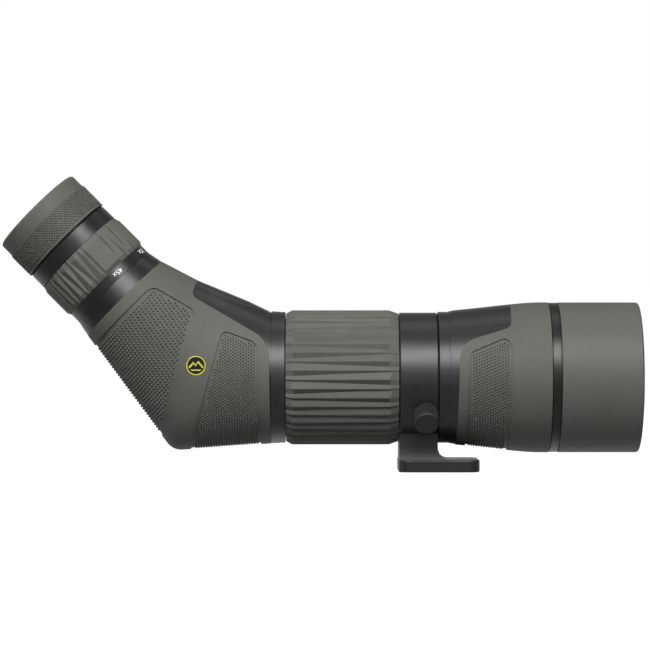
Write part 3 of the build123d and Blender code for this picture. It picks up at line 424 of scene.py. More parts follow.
def fan_reach(angle, line, radius):
    """Distance from the fan's line to a side-view outline with one rounded corner."""
    before, corner, after = line
    back = (before - corner).normalized()
    ahead = (after - corner).normalized()
    half = back.angle(ahead) / 2
    start = corner + back * (radius / tan(half))
    end = corner + ahead * (radius / tan(half))
    centre = corner + (back + ahead).normalized() * (radius / sin(half))
    ray = fan_ray(angle)
    first, last = (atan2(FAN.x - p.x, FAN.z - p.z) for p in (start, end))
    if last < angle < first:
        away = FAN - centre
        along = away.dot(ray)
        return -along + sqrt(along * along - away.dot(away) + radius * radius)
    a, b = (before, start) if angle >= first else (end, after)
    normal = Vector((a.z - b.z, 0, b.x - a.x))
    return (a - FAN).dot(normal) / ray.dot(normal)


def fan_section(angle, inset):
    """Matrix that turns a unit circle into one of the housing's sections, moved inwards by inset."""
    low = fan_reach(angle, HEEL, HEEL_RADIUS)
    high = fan_reach(angle, SADDLE, SADDLE_RADIUS)
    half_width = NECK_RADIUS + (HOUSING_RADIUS - NECK_RADIUS) * (1 - angle / TILT) - inset
    ray = fan_ray(angle)
    middle = FAN + ray * ((low + high) / 2)
    across = Vector((0, 1, 0)) * half_width
    upward = -ray * ((low - high) / 2 - inset)
    return columns(middle, across, upward, across.cross(upward).normalized())


def housing_form(inset, steps=60, sides=144, spine=0.0, past=0.0):
    """The prism housing's rounded body, closed; it can have a spine, or run past its ends."""
    bm = bmesh.new()
    angles = [TILT * k / steps for k in range(steps + 1)]
    places = [fan_section(angle, inset) for angle in angles]
    made = bmesh.ops.create_circle(bm, cap_ends=False, segments=sides, radius=1.0, matrix=places[0])
    rings = [made["verts"]]
    for place, following in zip(places, places[1:]):
        ring = set(rings[-1])
        edges = list(dict.fromkeys(e for v in rings[-1] for e in v.link_edges if e.other_vert(v) in ring))
        rings.append(new_corners(bmesh.ops.extrude_edge_only(bm, edges=edges)))
        bmesh.ops.transform(bm, matrix=following @ place.inverted(), verts=rings[-1])
    if spine:
        raise_spine(zip(angles, places, rings), spine)
    bmesh.ops.holes_fill(bm, edges=[e for e in bm.edges if e.is_boundary], sides=0)
    if past:
        bmesh.ops.translate(bm, vec=AHEAD * past, verts=rings[0])
        bmesh.ops.translate(bm, vec=EYE * past, verts=rings[-1])
    bmesh.ops.recalc_face_normals(bm, faces=bm.faces)
    return bm


def raise_spine(sections, rise):
    """Lift the top of each section, fading out towards both ends and over a narrow slope at each side."""
    slope = 1.4 * MM
    for angle, place, ring in sections:
        fade = min(1.0, angle / radians(9)) * min(1.0, (TILT - angle) / radians(3))
        upward = place.col[1].to_3d().normalized()
        for v in ring:
            out = v.co - place.translation
            if out.dot(upward) > 0:
                share = (SPINE_HALF_WIDTH + slope / 2 - abs(v.co.y)) / slope
                v.co += out.normalized() * rise * fade * max(0.0, min(1.0, share))


def from_place(x, z, *points):
    """Side-view points in millimetres ahead of and above a place."""
    return [(x + ahead * MM, z + above * MM) for ahead, above in points]


REAR_METAL = (
    [
        (LOFT_FRONT, AXIS_Z - 80 * MM),
        (LOFT_FRONT - 1.8 * MM, AXIS_Z + 19.8 * MM),
        *from_place(ELBOW.x, ELBOW.z, (-5.7, 43.6), (5.0, 76.0)),
        (HOUSING_FRONT + 20 * MM, AXIS_Z + 76 * MM),
        (HOUSING_FRONT + 20 * MM, AXIS_Z - 80 * MM),
    ],
    (0, 8 * MM, 3 * MM, 0, 0, 0),
)
STUD_PANEL = (
    from_place(ELBOW.x, ELBOW.z, (-26.3, 48.8), (-3.0, 35.5), (-26.5, -46.0), (-71.0, 4.1)),
    (4 * MM, 4 * MM, 0, 0),
)
DOT_PANEL = (
    from_place(ELBOW.x, ELBOW.z, (10.9, 25.5), (29.3, 18.6), (31.4, -52.0), (-10.6, -52.0)),
    (3.5 * MM, 3.5 * MM, 0, 0),
)

# ---------------------------------------------------------------- front housing's form
ARMOUR_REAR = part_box("front_armour")[0].x
ARMOUR_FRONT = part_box("front_armour")[1].x
ARMOUR_REAR_RADIUS = 35.9 * MM
ARMOUR_RADIUS = span("front_armour", OPTICAL)[3]
FRONT_METAL = (
    from_place(ARMOUR_REAR, AXIS_Z, (0, -60), (2.2, 18.5), (29.3, 27.0), (30.7, 60), (-18, 60), (-18, -60)),
    (0, 8 * MM, 2.5 * MM, 0, 0, 0),
)
FRONT_PANEL = (
    from_place(ARMOUR_REAR, AXIS_Z, (7.4, 13.6), (26.3, 21.6), (29.3, 18.0), (28.2, -50), (5.3, -50)),
    (2.5 * MM, 2.5 * MM, 2.5 * MM, 0, 0),
)


def front_outline(inset, points=14):
    """(station, radius) of the front armour's outside, moved inwards by inset."""
    reach = ARMOUR_FRONT - ARMOUR_REAR
    knots = (
        (ARMOUR_REAR, ARMOUR_REAR_RADIUS),
        (ARMOUR_REAR + 0.42 * reach, ARMOUR_REAR_RADIUS + 2.0 * MM),
        (ARMOUR_REAR + 0.70 * reach, ARMOUR_RADIUS),
        (ARMOUR_REAR + 0.92 * reach, ARMOUR_RADIUS),
    )
    curve = interpolate_bezier(*[Vector(k) for k in knots], points)
    return [(p.x, p.y - inset) for p in curve] + [(ARMOUR_FRONT, ARMOUR_RADIUS - inset)]


# ---------------------------------------------------------------- node tools for the finishes
def filled(tree, node, values):
    """The node, with inputs set by name to a constant or linked to another node's output."""
    for label, value in values.items():
        if isinstance(value, bpy.types.NodeSocket):
            tree.links.new(value, node.inputs[label])
        else:
            node.inputs[label].default_value = value
    return node


def new_node(tree, kind, values):
    """A new node with its inputs filled."""
    return filled(tree, tree.nodes.new("ShaderNode" + kind), values)


def node_group(name, inputs, outputs):
    """A new shader node group with float or colour sockets; returns it with its two end nodes."""
    group = bpy.data.node_groups.new(name, "ShaderNodeTree")
    for label, kind, default in inputs:
        socket = group.interface.new_socket(name=label, in_out="INPUT", socket_type=kind)
        socket.default_value = default
    for label, kind in outputs:
        group.interface.new_socket(name=label, in_out="OUTPUT", socket_type=kind)
    return group, group.nodes.new("NodeGroupInput"), group.nodes.new("NodeGroupOutput")


def noise(tree, position, scale, detail=3.0, roughness=0.55):
    """A noise texture on Object coordinates."""
    values = {"Vector": position, "Scale": scale, "Detail": detail, "Roughness": roughness}
    return new_node(tree, "TexNoise", values).outputs["Fac"]


def maths(tree, operation, first, second):
    """A Math node; each operand is an output or a number."""
    node = tree.nodes.new("ShaderNodeMath")
    node.operation = operation
    return filled(tree, node, {0: first, 1: second}).outputs[0]


def spread(tree, value, low, high, new_low, new_high):
    """Map Range with a smooth step."""
    node = new_node(tree, "MapRange", {
        "Value": value, "From Min": low, "From Max": high, "To Min": new_low, "To Max": new_high,
    })
    node.interpolation_type = "SMOOTHSTEP"
    return node.outputs["Result"]


def shaded(tree, tint, factor):
    """A colour multiplied by a factor."""
    node = tree.nodes.new("ShaderNodeVectorMath")
    node.operation = "SCALE"
    return filled(tree, node, {0: tint, "Scale": factor}).outputs[0]


def object_position(tree):
    """The piece's own coordinates, which the patterns read."""
    return tree.nodes.new("ShaderNodeTexCoord").outputs["Object"]


COLOUR = "NodeSocketColor"
FLOAT = "NodeSocketFloat"


def build_grain_group():
    """Fine moulded or cast grain: colour mottling, roughness and height that vary over the surface."""
    group, source, result = node_group(
        "Moulded grain",
        [
            ("Colour", COLOUR, (0.1, 0.1, 0.1, 1)),
            ("Roughness", FLOAT, 0.6),
            ("Grain scale", FLOAT, 2200.0),
            ("Mottle", FLOAT, 0.1),
            ("Roughness spread", FLOAT, 0.08),
        ],
        [("Colour", COLOUR), ("Roughness", FLOAT), ("Height", FLOAT)],
    )
    given = source.outputs
    position = object_position(group)
    fine = noise(group, position, given["Grain scale"], 2.0)
    broad = noise(group, position, 38.0, 4.0, 0.6)
    cloud = noise(group, position, 260.0, 3.0)
    mean = maths(group, "MULTIPLY", maths(group, "ADD", broad, cloud), 0.5)
    centred = maths(group, "SUBTRACT", mean, 0.5)
    shade = maths(group, "ADD", maths(group, "MULTIPLY", centred, given["Mottle"]), 1.0)
    grain = maths(group, "MULTIPLY", maths(group, "SUBTRACT", fine, 0.5), 0.25)
    uneven = maths(group, "MULTIPLY", maths(group, "MULTIPLY", centred, given["Roughness spread"]), 3.0)
    filled(group, result, {
        "Colour": shaded(group, given["Colour"], maths(group, "ADD", grain, shade)),
        "Roughness": maths(group, "ADD", given["Roughness"], uneven),
        "Height": fine,
    })


def build_wear_group():
    """Handling wear: faint rubbed patches and sparse light specks of dust."""
    group, source, result = node_group(
        "Handling wear",
        [
            ("Colour", COLOUR, (0.1, 0.1, 0.1, 1)),
            ("Roughness", FLOAT, 0.5),
            ("Worn colour", COLOUR, (0.3, 0.3, 0.3, 1)),
            ("Amount", FLOAT, 0.5),
        ],
        [("Colour", COLOUR), ("Roughness", FLOAT)],
    )
    given = source.outputs
    position = object_position(group)
    patches = spread(group, noise(group, position, 55.0, 5.0, 0.65), 0.52, 0.74, 0.0, 1.0)
    specks = spread(group, noise(group, position, 900.0, 1.0), 0.70, 0.80, 0.0, 1.0)
    rubbed = maths(group, "MULTIPLY", patches, 0.16)
    mask = maths(group, "ADD", rubbed, maths(group, "MULTIPLY", specks, 0.25))
    mask = maths(group, "MULTIPLY", mask, given["Amount"])
    mix = group.nodes.new("ShaderNodeMix")
    mix.data_type = "RGBA"
    filled(group, mix, {"Factor": mask, 6: given["Colour"], 7: given["Worn colour"]})
    polish = maths(group, "MULTIPLY", mask, 0.5)
    filled(group, result, {
        "Colour": mix.outputs[2],
        "Roughness": maths(group, "SUBTRACT", given["Roughness"], polish),
    })


def new_material(name):
    """A new node material, its tree and its shader."""
    material = bpy.data.materials.new(name)
    material.use_nodes = True
    return material, material.node_tree, material.node_tree.nodes["Principled BSDF"]


def group_node(tree, name, values):
    """A node of one of the shared groups, with its inputs filled."""
    node = tree.nodes.new("ShaderNodeGroup")
    node.node_tree = bpy.data.node_groups[name]
    return filled(tree, node, values).outputs


def finish_material(
    name, tint, roughness, grain, bump, mottle=0.5, worn=(0.3, 0.3, 0.3), wear=0.3, **sockets
):
    """A principled material with the shared grain and wear groups; other sockets are set by name."""
    material, tree, shader = new_material(name)
    grainy = group_node(tree, "Moulded grain", {
        "Colour": (*tint, 1), "Roughness": roughness, "Grain scale": grain, "Mottle": mottle,
    })
    rubbed = group_node(tree, "Handling wear", {
        "Colour": grainy["Colour"], "Roughness": grainy["Roughness"], "Worn colour": (*worn, 1),
        "Amount": wear,
    })
    relief = new_node(tree, "Bump", {"Strength": 1.0, "Distance": bump, "Height": grainy["Height"]})
    filled(tree, shader, {
        "Base Color": rubbed["Colour"], "Roughness": rubbed["Roughness"],
        "Normal": relief.outputs["Normal"],
    })
    filled(tree, shader, {label.replace("_", " "): value for label, value in sockets.items()})
    return material


def glass_material(name, tint, film):
    """Polished glass with a thin-film coating."""
    _, tree, shader = new_material(name)
    smudge = noise(tree, object_position(tree), 120.0, 4.0)
    filled(tree, shader, {
        "Roughness": spread(tree, smudge, 0.45, 0.8, 0.0, 0.05), "Base Color": (*tint, 1),
        "Transmission Weight": 1.0, "IOR": 1.52, "Thin Film Thickness": film, "Thin Film IOR": 1.38,
    })


# Which finish each CAD node that stays in view takes.
NODE_FINISH = {
    "Satin black metal": (
        "collar_foot", "knob_cap", "sunshade_stop", "objective_cell", "eyecup_guide", "eyecup_sleeve",
    ),
    "Black anodised": (
        "body_tube", "tube_baffle", "focus_ring", "focus_carriage", "objective_spacer",
        "objective_retainer", "focus_lens_retainer", "eyepiece_base", "zoom_barrel", "zoom_ring",
        "eyepiece_top", "field_stop", "zoom_front_cell", "zoom_rear_cell", "eye_lens_cell",
        "eye_lens_spacer", "eye_lens_retainer",
    ),
    "Bare aluminium": ("prism_cage", "prism_side_plate"),
    "Seal rubber": ("focus_seals", "objective_seal"),
    "Nylon": ("collar_liner", "brake_pad", "sunshade_glide", "eyecup_glide_ring"),
    "Steel": ("thread_insert", "lock_screw", "prism_screws", "eyecup_pins"),
    "Brass": ("focus_drive_pins", "zoom_front_pins", "zoom_rear_pins"),
    "Coated glass": (
        "objective_lens_front", "objective_lens_rear", "focus_lens_front", "focus_lens_rear",
        "zoom_front_lens", "zoom_rear_lens", "eye_lens_inner", "eye_lens_outer",
    ),
    "Prism glass": ("roof_prism",),
}


class PieceMaker:
    """Runs an operator's build method with the scene's sizes."""

    def execute(self, context):
        self.build(context.scene.scope_sizes)
        return {"FINISHED"}


class SCOPE_OT_finishes(bpy.types.Operator):
    """Make every finish, and give the CAD nodes that stay in view theirs"""

    bl_idname = "scope.finishes"
    bl_label = "Finishes"

    def execute(self, context):
        build_grain_group()
        build_wear_group()
        self.make_rubber_and_black(context.scene.scope_colours)
        self.make_hardware()
        self.make_markings(context.scene.scope_colours)
        glass_material("Coated glass", (0.96, 0.99, 0.97), 330.0)
        glass_material("Prism glass", (0.97, 0.99, 0.99), 0.0)
        for finish, names in NODE_FINISH.items():
            for name in names:
                NODES[name].data.materials.clear()
                NODES[name].data.materials.append(bpy.data.materials[finish])
        return {"FINISHED"}

    def make_rubber_and_black(self, tints):
        finish_material("Olive rubber", tints.rubber, 0.62, 2600, 0.00003, 0.35, (0.2, 0.2, 0.18), 0.5,
                        Specular_IOR_Level=0.32)
        finish_material("Olive coat", tints.coat, 0.55, 3200, 0.00001, 0.25, (0.22, 0.22, 0.2), 0.4,
                        Specular_IOR_Level=0.35)
        finish_material("Satin black metal", tints.metal, 0.38, 4200, 0.000012, 0.3, (0.16, 0.16, 0.16), 0.35,
                        Specular_IOR_Level=0.5, Coat_Weight=0.15, Coat_Roughness=0.3)
        finish_material("Black anodised", tints.anodised, 0.34, 5200, 0.000006, 0.25, (0.2, 0.2, 0.2), 0.3,
                        Specular_IOR_Level=0.5)
        finish_material("Black plastic", tints.plastic, 0.5, 3000, 0.00002, 0.3, (0.12, 0.12, 0.12), 0.3)

    def make_hardware(self):
        finish_material("Seal rubber", (0.012, 0.012, 0.012), 0.5, 3000, 0.00001)
        finish_material("Bare aluminium", (0.72, 0.73, 0.74), 0.32, 6000, 0.000006, 0.1, (0.5, 0.5, 0.5), 0.3,
                        Metallic=1.0)
        finish_material("Steel", (0.56, 0.57, 0.58), 0.26, 6000, 0.000004, 0.1, (0.4, 0.4, 0.4), 0.3,
                        Metallic=1.0)
        finish_material("Brass", (0.72, 0.54, 0.25), 0.3, 6000, 0.000004, 0.15, (0.45, 0.32, 0.15), 0.4,
                        Metallic=1.0)
        finish_material("Nylon", (0.78, 0.75, 0.66), 0.45, 3000, 0.00001, 0.15, (0.6, 0.55, 0.45), 0.3)

    def make_markings(self, tints):
        finish_material("White paint", tints.paint, 0.5, 4000, 0.000006, 0.15, (0.5, 0.5, 0.48), 0.4)
        finish_material("Yellow enamel", tints.enamel, 0.28, 4000, 0.000004, 0.15, (0.5, 0.45, 0.1), 0.3,
                        Coat_Weight=0.5)
        finish_material("Black enamel", (0.006, 0.006, 0.006), 0.22, 4000, 0.000004, 0.2, (0.05, 0.05, 0.05),
                        0.3, Coat_Weight=0.5)


# ---------------------------------------------------------------- pieces about the optical axis
class SCOPE_OT_sunshade(PieceMaker, bpy.types.Operator):
    """Sliding sunshade: a thin coated tube with light-trapping grooves behind its front lip"""

    bl_idname = "scope.sunshade"
    bl_label = "Sunshade"

    def build(self, sizes):
        start, end, bore, radius = span("sunshade", OPTICAL)
        lip = 1.3 * MM
        arc = [k * pi / 12 for k in range(7)]
        outline = [(start, bore), (start, radius - sizes.edge), (start + sizes.edge, radius)]
        outline += [(end - lip * (1 - sin(a)), radius - lip * (1 - cos(a))) for a in arc]
        outline.append((end, bore + 0.35 * MM))
        groove = 0.55 * MM
        trap_end = end - 1.0 * MM
        outline.append((trap_end + 0.5 * MM, bore))
        for k in range(5):
            outline.append((trap_end - 2 * k * groove, bore))
            outline.append((trap_end - (2 * k + 1) * groove, bore + 0.5 * MM))
        bm = turned(OPTICAL, outline)
        piece("sunshade_shell", bm, "sunshade", ["Olive coat"], ["sunshade"])


class SCOPE_OT_name_ring(PieceMaker, bpy.types.Operator):
    """Black ring between the armour and the sunshade, left blank, with a fine groove at each edge"""

    bl_idname = "scope.name_ring"
    bl_label = "Name ring"

    def build(self, sizes):
        start, end, bore, radius = span("name_ring", OPTICAL)
        line = 0.22 * MM
        low = radius - 0.9 * MM
        step = 1.4 * line
        slope = 2.4 * line
        outline = [
            (start, bore), (start, low), (start + step, low), (start + step, radius - line),
            (start + slope, radius), (end - slope, radius),
            (end - step, radius - line), (end - step, low), (end, low), (end, bore),
        ]
        bm = turned(OPTICAL, outline)
        piece("name_band", bm, "scope_body", ["Black anodised"], ["name_ring"])


class SCOPE_OT_front_housing(PieceMaker, bpy.types.Operator):
    """Front casting: rear flange, a ridge left bare on top, and the barrel that the sunshade slides on"""

    bl_idname = "scope.front_housing"
    bl_label = "Front housing"

    def build(self, sizes):
        start, end, _, _ = span("front_housing", OPTICAL)
        flange = 35.0 * MM
        barrel = span("name_ring", OPTICAL)[2]
        inner = 35.2 * MM
        shoulder = inner - 1.5 * MM
        _, tube_end, _, rear_bore = span("body_tube", OPTICAL)
        seat = span("objective_cell", OPTICAL)[0]
        under = front_outline(ARMOUR_WALL)
        under_rear = ARMOUR_REAR - 0.4 * MM
        edge = sizes.edge
        body = turned(OPTICAL, [
            (start, rear_bore), (start, flange - edge), (start + edge, flange),
            (under_rear, flange), (under_rear, under[0][1]), *under,
            (ARMOUR_FRONT, barrel), (end - edge, barrel), (end, barrel - edge),
            (end, inner), (seat, inner), (seat, shoulder), (seat - 2 * MM, shoulder),
            (tube_end + 3 * MM, rear_bore),
        ])
        ridge = combined(self.ridge(start + 4.8 * MM, flange, rear_bore), ("INTERSECT", prism(*FRONT_METAL)))
        bm = combined(body, ("UNION", ridge))
        piece("front_casting", bm, "scope_body", ["Satin black metal"],
              ["front_housing"])

    def ridge(self, start, flange, rear_bore):
        """The bare metal round the cut-out, lifted on top between two creases."""
        lift = 0.35 * MM
        rise = [(x, r - lift) for x, r in front_outline(0)[:11]]
        rear = start - 0.3 * MM
        bm = turned(OPTICAL, [
            (rear, rear_bore + 2 * MM), (rear, flange - 0.9 * MM), (start + 1.2 * MM, flange + 0.2 * MM),
            *rise, (rise[-1][0], rear_bore + 6 * MM),
        ])
        crease = radians(46)
        for v in bm.verts:
            height = v.co.z - AXIS_Z
            if height > 0 and v.co.x > start:
                from_top = atan2(abs(v.co.y), height)
                share = max(0.0, min(1.0, (crease - from_top) / radians(2.5)))
                ahead = min(1.0, (v.co.x - start) / (3 * MM))
                v.co += Vector((0, v.co.y, height)).normalized() * (lift * share * ahead)
        return bm


class SCOPE_OT_front_armour(PieceMaker, bpy.types.Operator):
    """Front rubber armour with its cut-out for the ridge and a panel of small dots"""

    bl_idname = "scope.front_armour"
    bl_label = "Front armour"

    def build(self, sizes):
        outside = front_outline(0)
        within = front_outline(ARMOUR_WALL - 0.05 * MM)[::-1]
        skin = turned(OPTICAL, outside + within, rounding=sizes.soft_edge)
        sunk = front_outline(sizes.panel_depth)
        past = 5 * MM
        rear, front = ARMOUR_REAR - past, ARMOUR_FRONT + past
        core = turned(OPTICAL, [(rear, 0), (rear, sunk[0][1]), *sunk, (front, sunk[-1][1]), (front, 0)],
                      closed=False)
        pocket = panel_cutter(*FRONT_PANEL, sizes.groove_width, sizes.bead_width)
        pocket = combined(pocket, ("DIFFERENCE", core))
        bm = combined(skin, ("DIFFERENCE", prism(*FRONT_METAL)), ("DIFFERENCE", pocket))
        floor = turned(OPTICAL, [(ARMOUR_REAR, 0), *sunk, (ARMOUR_FRONT, 0)], closed=False)
        fill_dots(bm, BVHTree.FromBMesh(floor), FRONT_PANEL[0], sizes, AXIS_Z)
        piece("front_grip_armour", bm, "scope_body", ["Olive rubber"], ["front_armour"])


# ---------------------------------------------------------------- ribbed grips
def rib_marks(groups, ribs, gap):
    """(angle, height, lean) of each corner round a ribbed grip, with smooth gaps between groups."""
    marks = []
    sector = TURN / groups
    pitch = (sector - gap) / ribs
    for g in range(groups):
        first = g * sector + gap / 2
        for k in range(ribs):
            low = first + k * pitch
            lean = pitch * (0.22 if k % 2 else -0.22)
            marks += [(low, 0.0, lean), (low + 0.58 * pitch, 0.95, 0.0), (low + 0.66 * pitch, 1.0, 0.0)]
        if gap:
            last = first + ribs * pitch
            smooth = 6
            marks.append((last, 0.15, 0.0))
            marks += [(last + gap * (k + 0.5) / smooth, 1.0, 0.0) for k in range(smooth)]
    return marks


def ribbed_sleeve(axis, span_of_grip, marks, depth, taper, drop):
    """A sleeve with leaning ribs, alternately wide at either end, whose ends slope down."""
    start, end, bore, radius = span_of_grip
    bm = bmesh.new()
    rings = []
    for k, share in enumerate((0.0, 0.0, 1.0, 1.0)):
        ring = bmesh.ops.create_circle(bm, cap_ends=False, segments=len(marks), radius=1.0)["verts"]
        for v, (angle, height, lean) in zip(ring, marks):
            turn = angle + lean * (1 - 2 * share)
            stop = taper * (1.25 if (lean > 0) == (share == 0) else 0.8)
            x = start + share * (end - start)
            r = radius - depth * (1 - height)
            if k == 1:
                x += stop
            elif k == 2:
                x -= stop
            else:
                r = min(r, radius - drop)
            v.co = (x, r * cos(turn), r * sin(turn))
        rings.append(ring)
    for x in (end, start):
        ring = bmesh.ops.create_circle(bm, cap_ends=False, segments=len(marks), radius=1.0)["verts"]
        for v, (angle, _, _) in zip(ring, marks):
            v.co = (x, bore * cos(angle), bore * sin(angle))
        rings.append(ring)
    bridged(bm, rings)
    bmesh.ops.transform(bm, matrix=axis, verts=bm.verts)
    round_edges(bm, 0.12 * MM, 2, radians(12))
    return bm


class SCOPE_OT_focus_grip(PieceMaker, bpy.types.Operator):
    """Rubber sleeve of the focus ring, with faceted ribs that lean alternately"""

    bl_idname = "scope.focus_grip"
    bl_label = "Focus grip"

    def build(self, sizes):
        marks = rib_marks(1, sizes.focus_ribs, 0.0)
        bm = ribbed_sleeve(
            OPTICAL, span("focus_grip", OPTICAL), marks, sizes.focus_rib_depth, 3.9 * MM, 1.7 * MM
        )
        piece("focus_grip_ribs", bm, "focus_ring", ["Olive rubber"], ["focus_grip"],
              radians(50))


class SCOPE_OT_zoom_grip(PieceMaker, bpy.types.Operator):
    """Rubber sleeve of the zoom ring: four groups of ribs with a smooth gap between them"""

    bl_idname = "scope.zoom_grip"
    bl_label = "Zoom grip"

    def build(self, sizes):
        gap = radians(27)
        turn = radians(20 + 90)
        marks = [(a + turn, height, lean) for a, height, lean in rib_marks(4, 7, gap)]
        bm = ribbed_sleeve(
            OCULAR, span("zoom_grip", OCULAR), marks, sizes.zoom_rib_depth, 2.6 * MM, 1.1 * MM
        )
        piece("zoom_grip_ribs", bm, "zoom_ring", ["Olive rubber"], ["zoom_grip"], radians(50))


# ---------------------------------------------------------------- collar
class SCOPE_OT_lock_knob(PieceMaker, bpy.types.Operator):
    """Fluted knob of the collar's lock screw"""

    bl_idname = "scope.lock_knob"
    bl_label = "Lock knob"

    def build(self, sizes):
        out = joint_axis("lock_knob_turn")
        if out.y > 0:
            out = -out
        low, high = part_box("lock_screw")
        axis = columns(((low.x + high.x) / 2, 0, AXIS_Z), out, AHEAD, out.cross(AHEAD))
        start, end, _, radius = span("lock_knob", axis)
        cap = span("knob_cap", axis)[3]
        bore = span("lock_screw", axis)[3]
        floor = end - 1.2 * MM
        foot, crown, flute = 0.5 * MM, 0.7 * MM, 0.42 * MM
        around = 4 * sizes.knob_flutes
        bm = bmesh.new()
        rings = []
        for x, r in (
            (start, radius - foot), (start + foot, radius), (end - crown, radius), (end, radius - crown),
            (end, cap), (floor, cap), (floor, bore), (start, bore),
        ):
            ring = bmesh.ops.create_circle(bm, cap_ends=False, segments=around, radius=1.0)["verts"]
            for k, v in enumerate(ring):
                reach = r - flute if r == radius and k % 4 in (0, 1) else r
                angle = TURN * k / around
                v.co = (x, reach * cos(angle), reach * sin(angle))
            rings.append(ring)
        bridged(bm, rings)
        bmesh.ops.transform(bm, matrix=axis, verts=bm.verts)
        round_edges(bm, 0.08 * MM, 1, radians(30))
        piece("lock_knob_fluted", bm, "lock_knob", ["Black plastic"], ["lock_knob"])


# ---------------------------------------------------------------- prism housing and its armour
class SCOPE_OT_prism_housing(PieceMaker, bpy.types.Operator):
    """Prism housing: a cast shell with a raised spine, and the turned rim that the focus ring meets"""

    bl_idname = "scope.prism_housing"
    bl_label = "Prism housing"

    def build(self, sizes):
        bare = combined(housing_form(SKIN_DROP, spine=SKIN_DROP), ("INTERSECT", prism(*REAR_METAL)))
        spigot = 23 * MM
        hole_start, hole_end = NECK_DISTANCE - 9 * MM, NECK_DISTANCE + 4 * MM
        neck_hole = turned(
            OCULAR, [(hole_start, 0), (hole_start, spigot), (hole_end, spigot), (hole_end, 0)], 96,
            closed=False,
        )
        bm = combined(
            housing_form(ARMOUR_WALL, 45, 112),
            ("UNION", bare),
            ("DIFFERENCE", housing_form(ARMOUR_WALL + HOUSING_WALL, 30, 80, past=3 * MM)),
            ("DIFFERENCE", neck_hole),
        )
        bm.from_mesh(plain_mesh("rim", self.rim(sizes.edge)))
        piece("prism_housing_shell", bm, "scope_body", ["Satin black metal"],
              ["prism_housing"])

    def rim(self, edge):
        """The turned end: a land as wide as the armour, then a step down to the focus ring."""
        bore = span("body_tube", OPTICAL)[3]
        rear = LOFT_FRONT - 0.5 * MM
        rim = 35.0 * MM
        land = HOUSING_RADIUS + 0.05 * MM
        return turned(OPTICAL, [
            (rear, bore), (rear, land), (LOFT_FRONT + 3.3 * MM, land - 0.2 * MM),
            (LOFT_FRONT + 4.0 * MM, land - 0.35 * MM), (LOFT_FRONT + 4.6 * MM, rim),
            (HOUSING_FRONT - edge, rim), (HOUSING_FRONT, rim - edge), (HOUSING_FRONT, bore),
        ])


class SCOPE_OT_rear_armour(PieceMaker, bpy.types.Operator):
    """Rear rubber armour, with a panel of studs by the eyepiece and one of dots by the focus ring"""

    bl_idname = "scope.rear_armour"
    bl_label = "Rear armour"

    def build(self, sizes):
        pockets = [
            ("DIFFERENCE", combined(
                panel_cutter(*panel, sizes.groove_width, sizes.bead_width),
                ("DIFFERENCE", housing_form(sizes.panel_depth, past=6 * MM)),
            ))
            for panel in (STUD_PANEL, DOT_PANEL)
        ]
        bm = combined(
            housing_form(0.0),
            ("DIFFERENCE", housing_form(ARMOUR_WALL - 0.02 * MM, 45, 112, past=3 * MM)),
            ("DIFFERENCE", prism(*REAR_METAL)),
            ("DIFFERENCE", self.badge_seat()),
            *pockets,
        )
        surface = BVHTree.FromBMesh(housing_form(sizes.panel_depth))
        first = NECK_DISTANCE - 6 * MM
        sections = [(ELBOW + EYE * (first - sizes.stud_row * k), EYE) for k in range(52)]
        fill_panel(bm, surface, sections, STUD_PANEL[0], sizes, sizes.stud_pitch, STUD, STUD_GAP, False)
        fill_dots(bm, surface, DOT_PANEL[0], sizes, AXIS_Z + 3 * MM)
        piece("rear_grip_armour", bm, "scope_body", ["Olive rubber"], ["rear_armour"])

    def badge_seat(self):
        """Clears the rubber over the badge, so that its whole face shows."""
        low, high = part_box("badge")
        centre = (low + high) / 2
        axis = columns((centre.x, high.y - 0.1 * MM, centre.z), NEAR, UP, -AHEAD)
        radius = (high.x - low.x) / 2 + 0.12 * MM
        reach = 8 * MM
        return turned(axis, [(0, 0), (0, radius), (reach, radius), (reach, 0)], 64, closed=False)


class SCOPE_OT_badge(PieceMaker, bpy.types.Operator):
    """Round enamel badge with a raised rim and the outline of two hills"""

    bl_idname = "scope.badge"
    bl_label = "Badge"

    def build(self, sizes):
        low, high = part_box("badge")
        centre = (low + high) / 2
        radius = (high.x - low.x) / 2
        thick = high.y - low.y
        axis = columns((centre.x, high.y, centre.z), NEAR, UP, NEAR.cross(UP))
        face = thick * 0.8
        foot = face - 0.1 * MM
        inner = radius - 0.62 * MM
        disc = turned(axis, [(0, 0), (0, radius), (face, radius), (face, 0)], 64, closed=False)
        band = turned(axis, [(foot, inner), (thick, inner), (thick, radius), (foot, radius)], 64, 0.08 * MM)
        hill = self.hill(inner)
        bmesh.ops.translate(hill, vec=(centre.x, high.y - face + 0.02 * MM, centre.z), verts=hill.verts)
        for raised in (band, hill):
            for f in raised.faces:
                f.material_index = 1
            disc.from_mesh(plain_mesh("raised", raised))
        piece("badge_enamelled", disc, "scope_body", ["Black enamel", "Yellow enamel"],
              ["badge"])

    def hill(self, size):
        """Two peaks as one bent line, with a level bar below them."""
        bm = bmesh.new()
        ridge = [(-0.86, -0.12), (-0.30, 0.42), (-0.06, 0.14), (0.26, 0.56), (0.86, -0.12)]
        under = [(x * 0.93, z - 0.24) for x, z in ridge]
        shapes = [(a, b, d, c) for a, b, c, d in zip(ridge, ridge[1:], under, under[1:])]
        shapes.append([(-0.62, -0.46), (0.62, -0.46), (0.50, -0.60), (-0.50, -0.60)])
        for shape in shapes:
            bm.faces.new([bm.verts.new((x * size, 0, z * size)) for x, z in shape])
        bmesh.ops.remove_doubles(bm, verts=bm.verts, dist=1e-6)
        carried_through(bm, bm.faces[:], -0.14 * MM)
        return bm


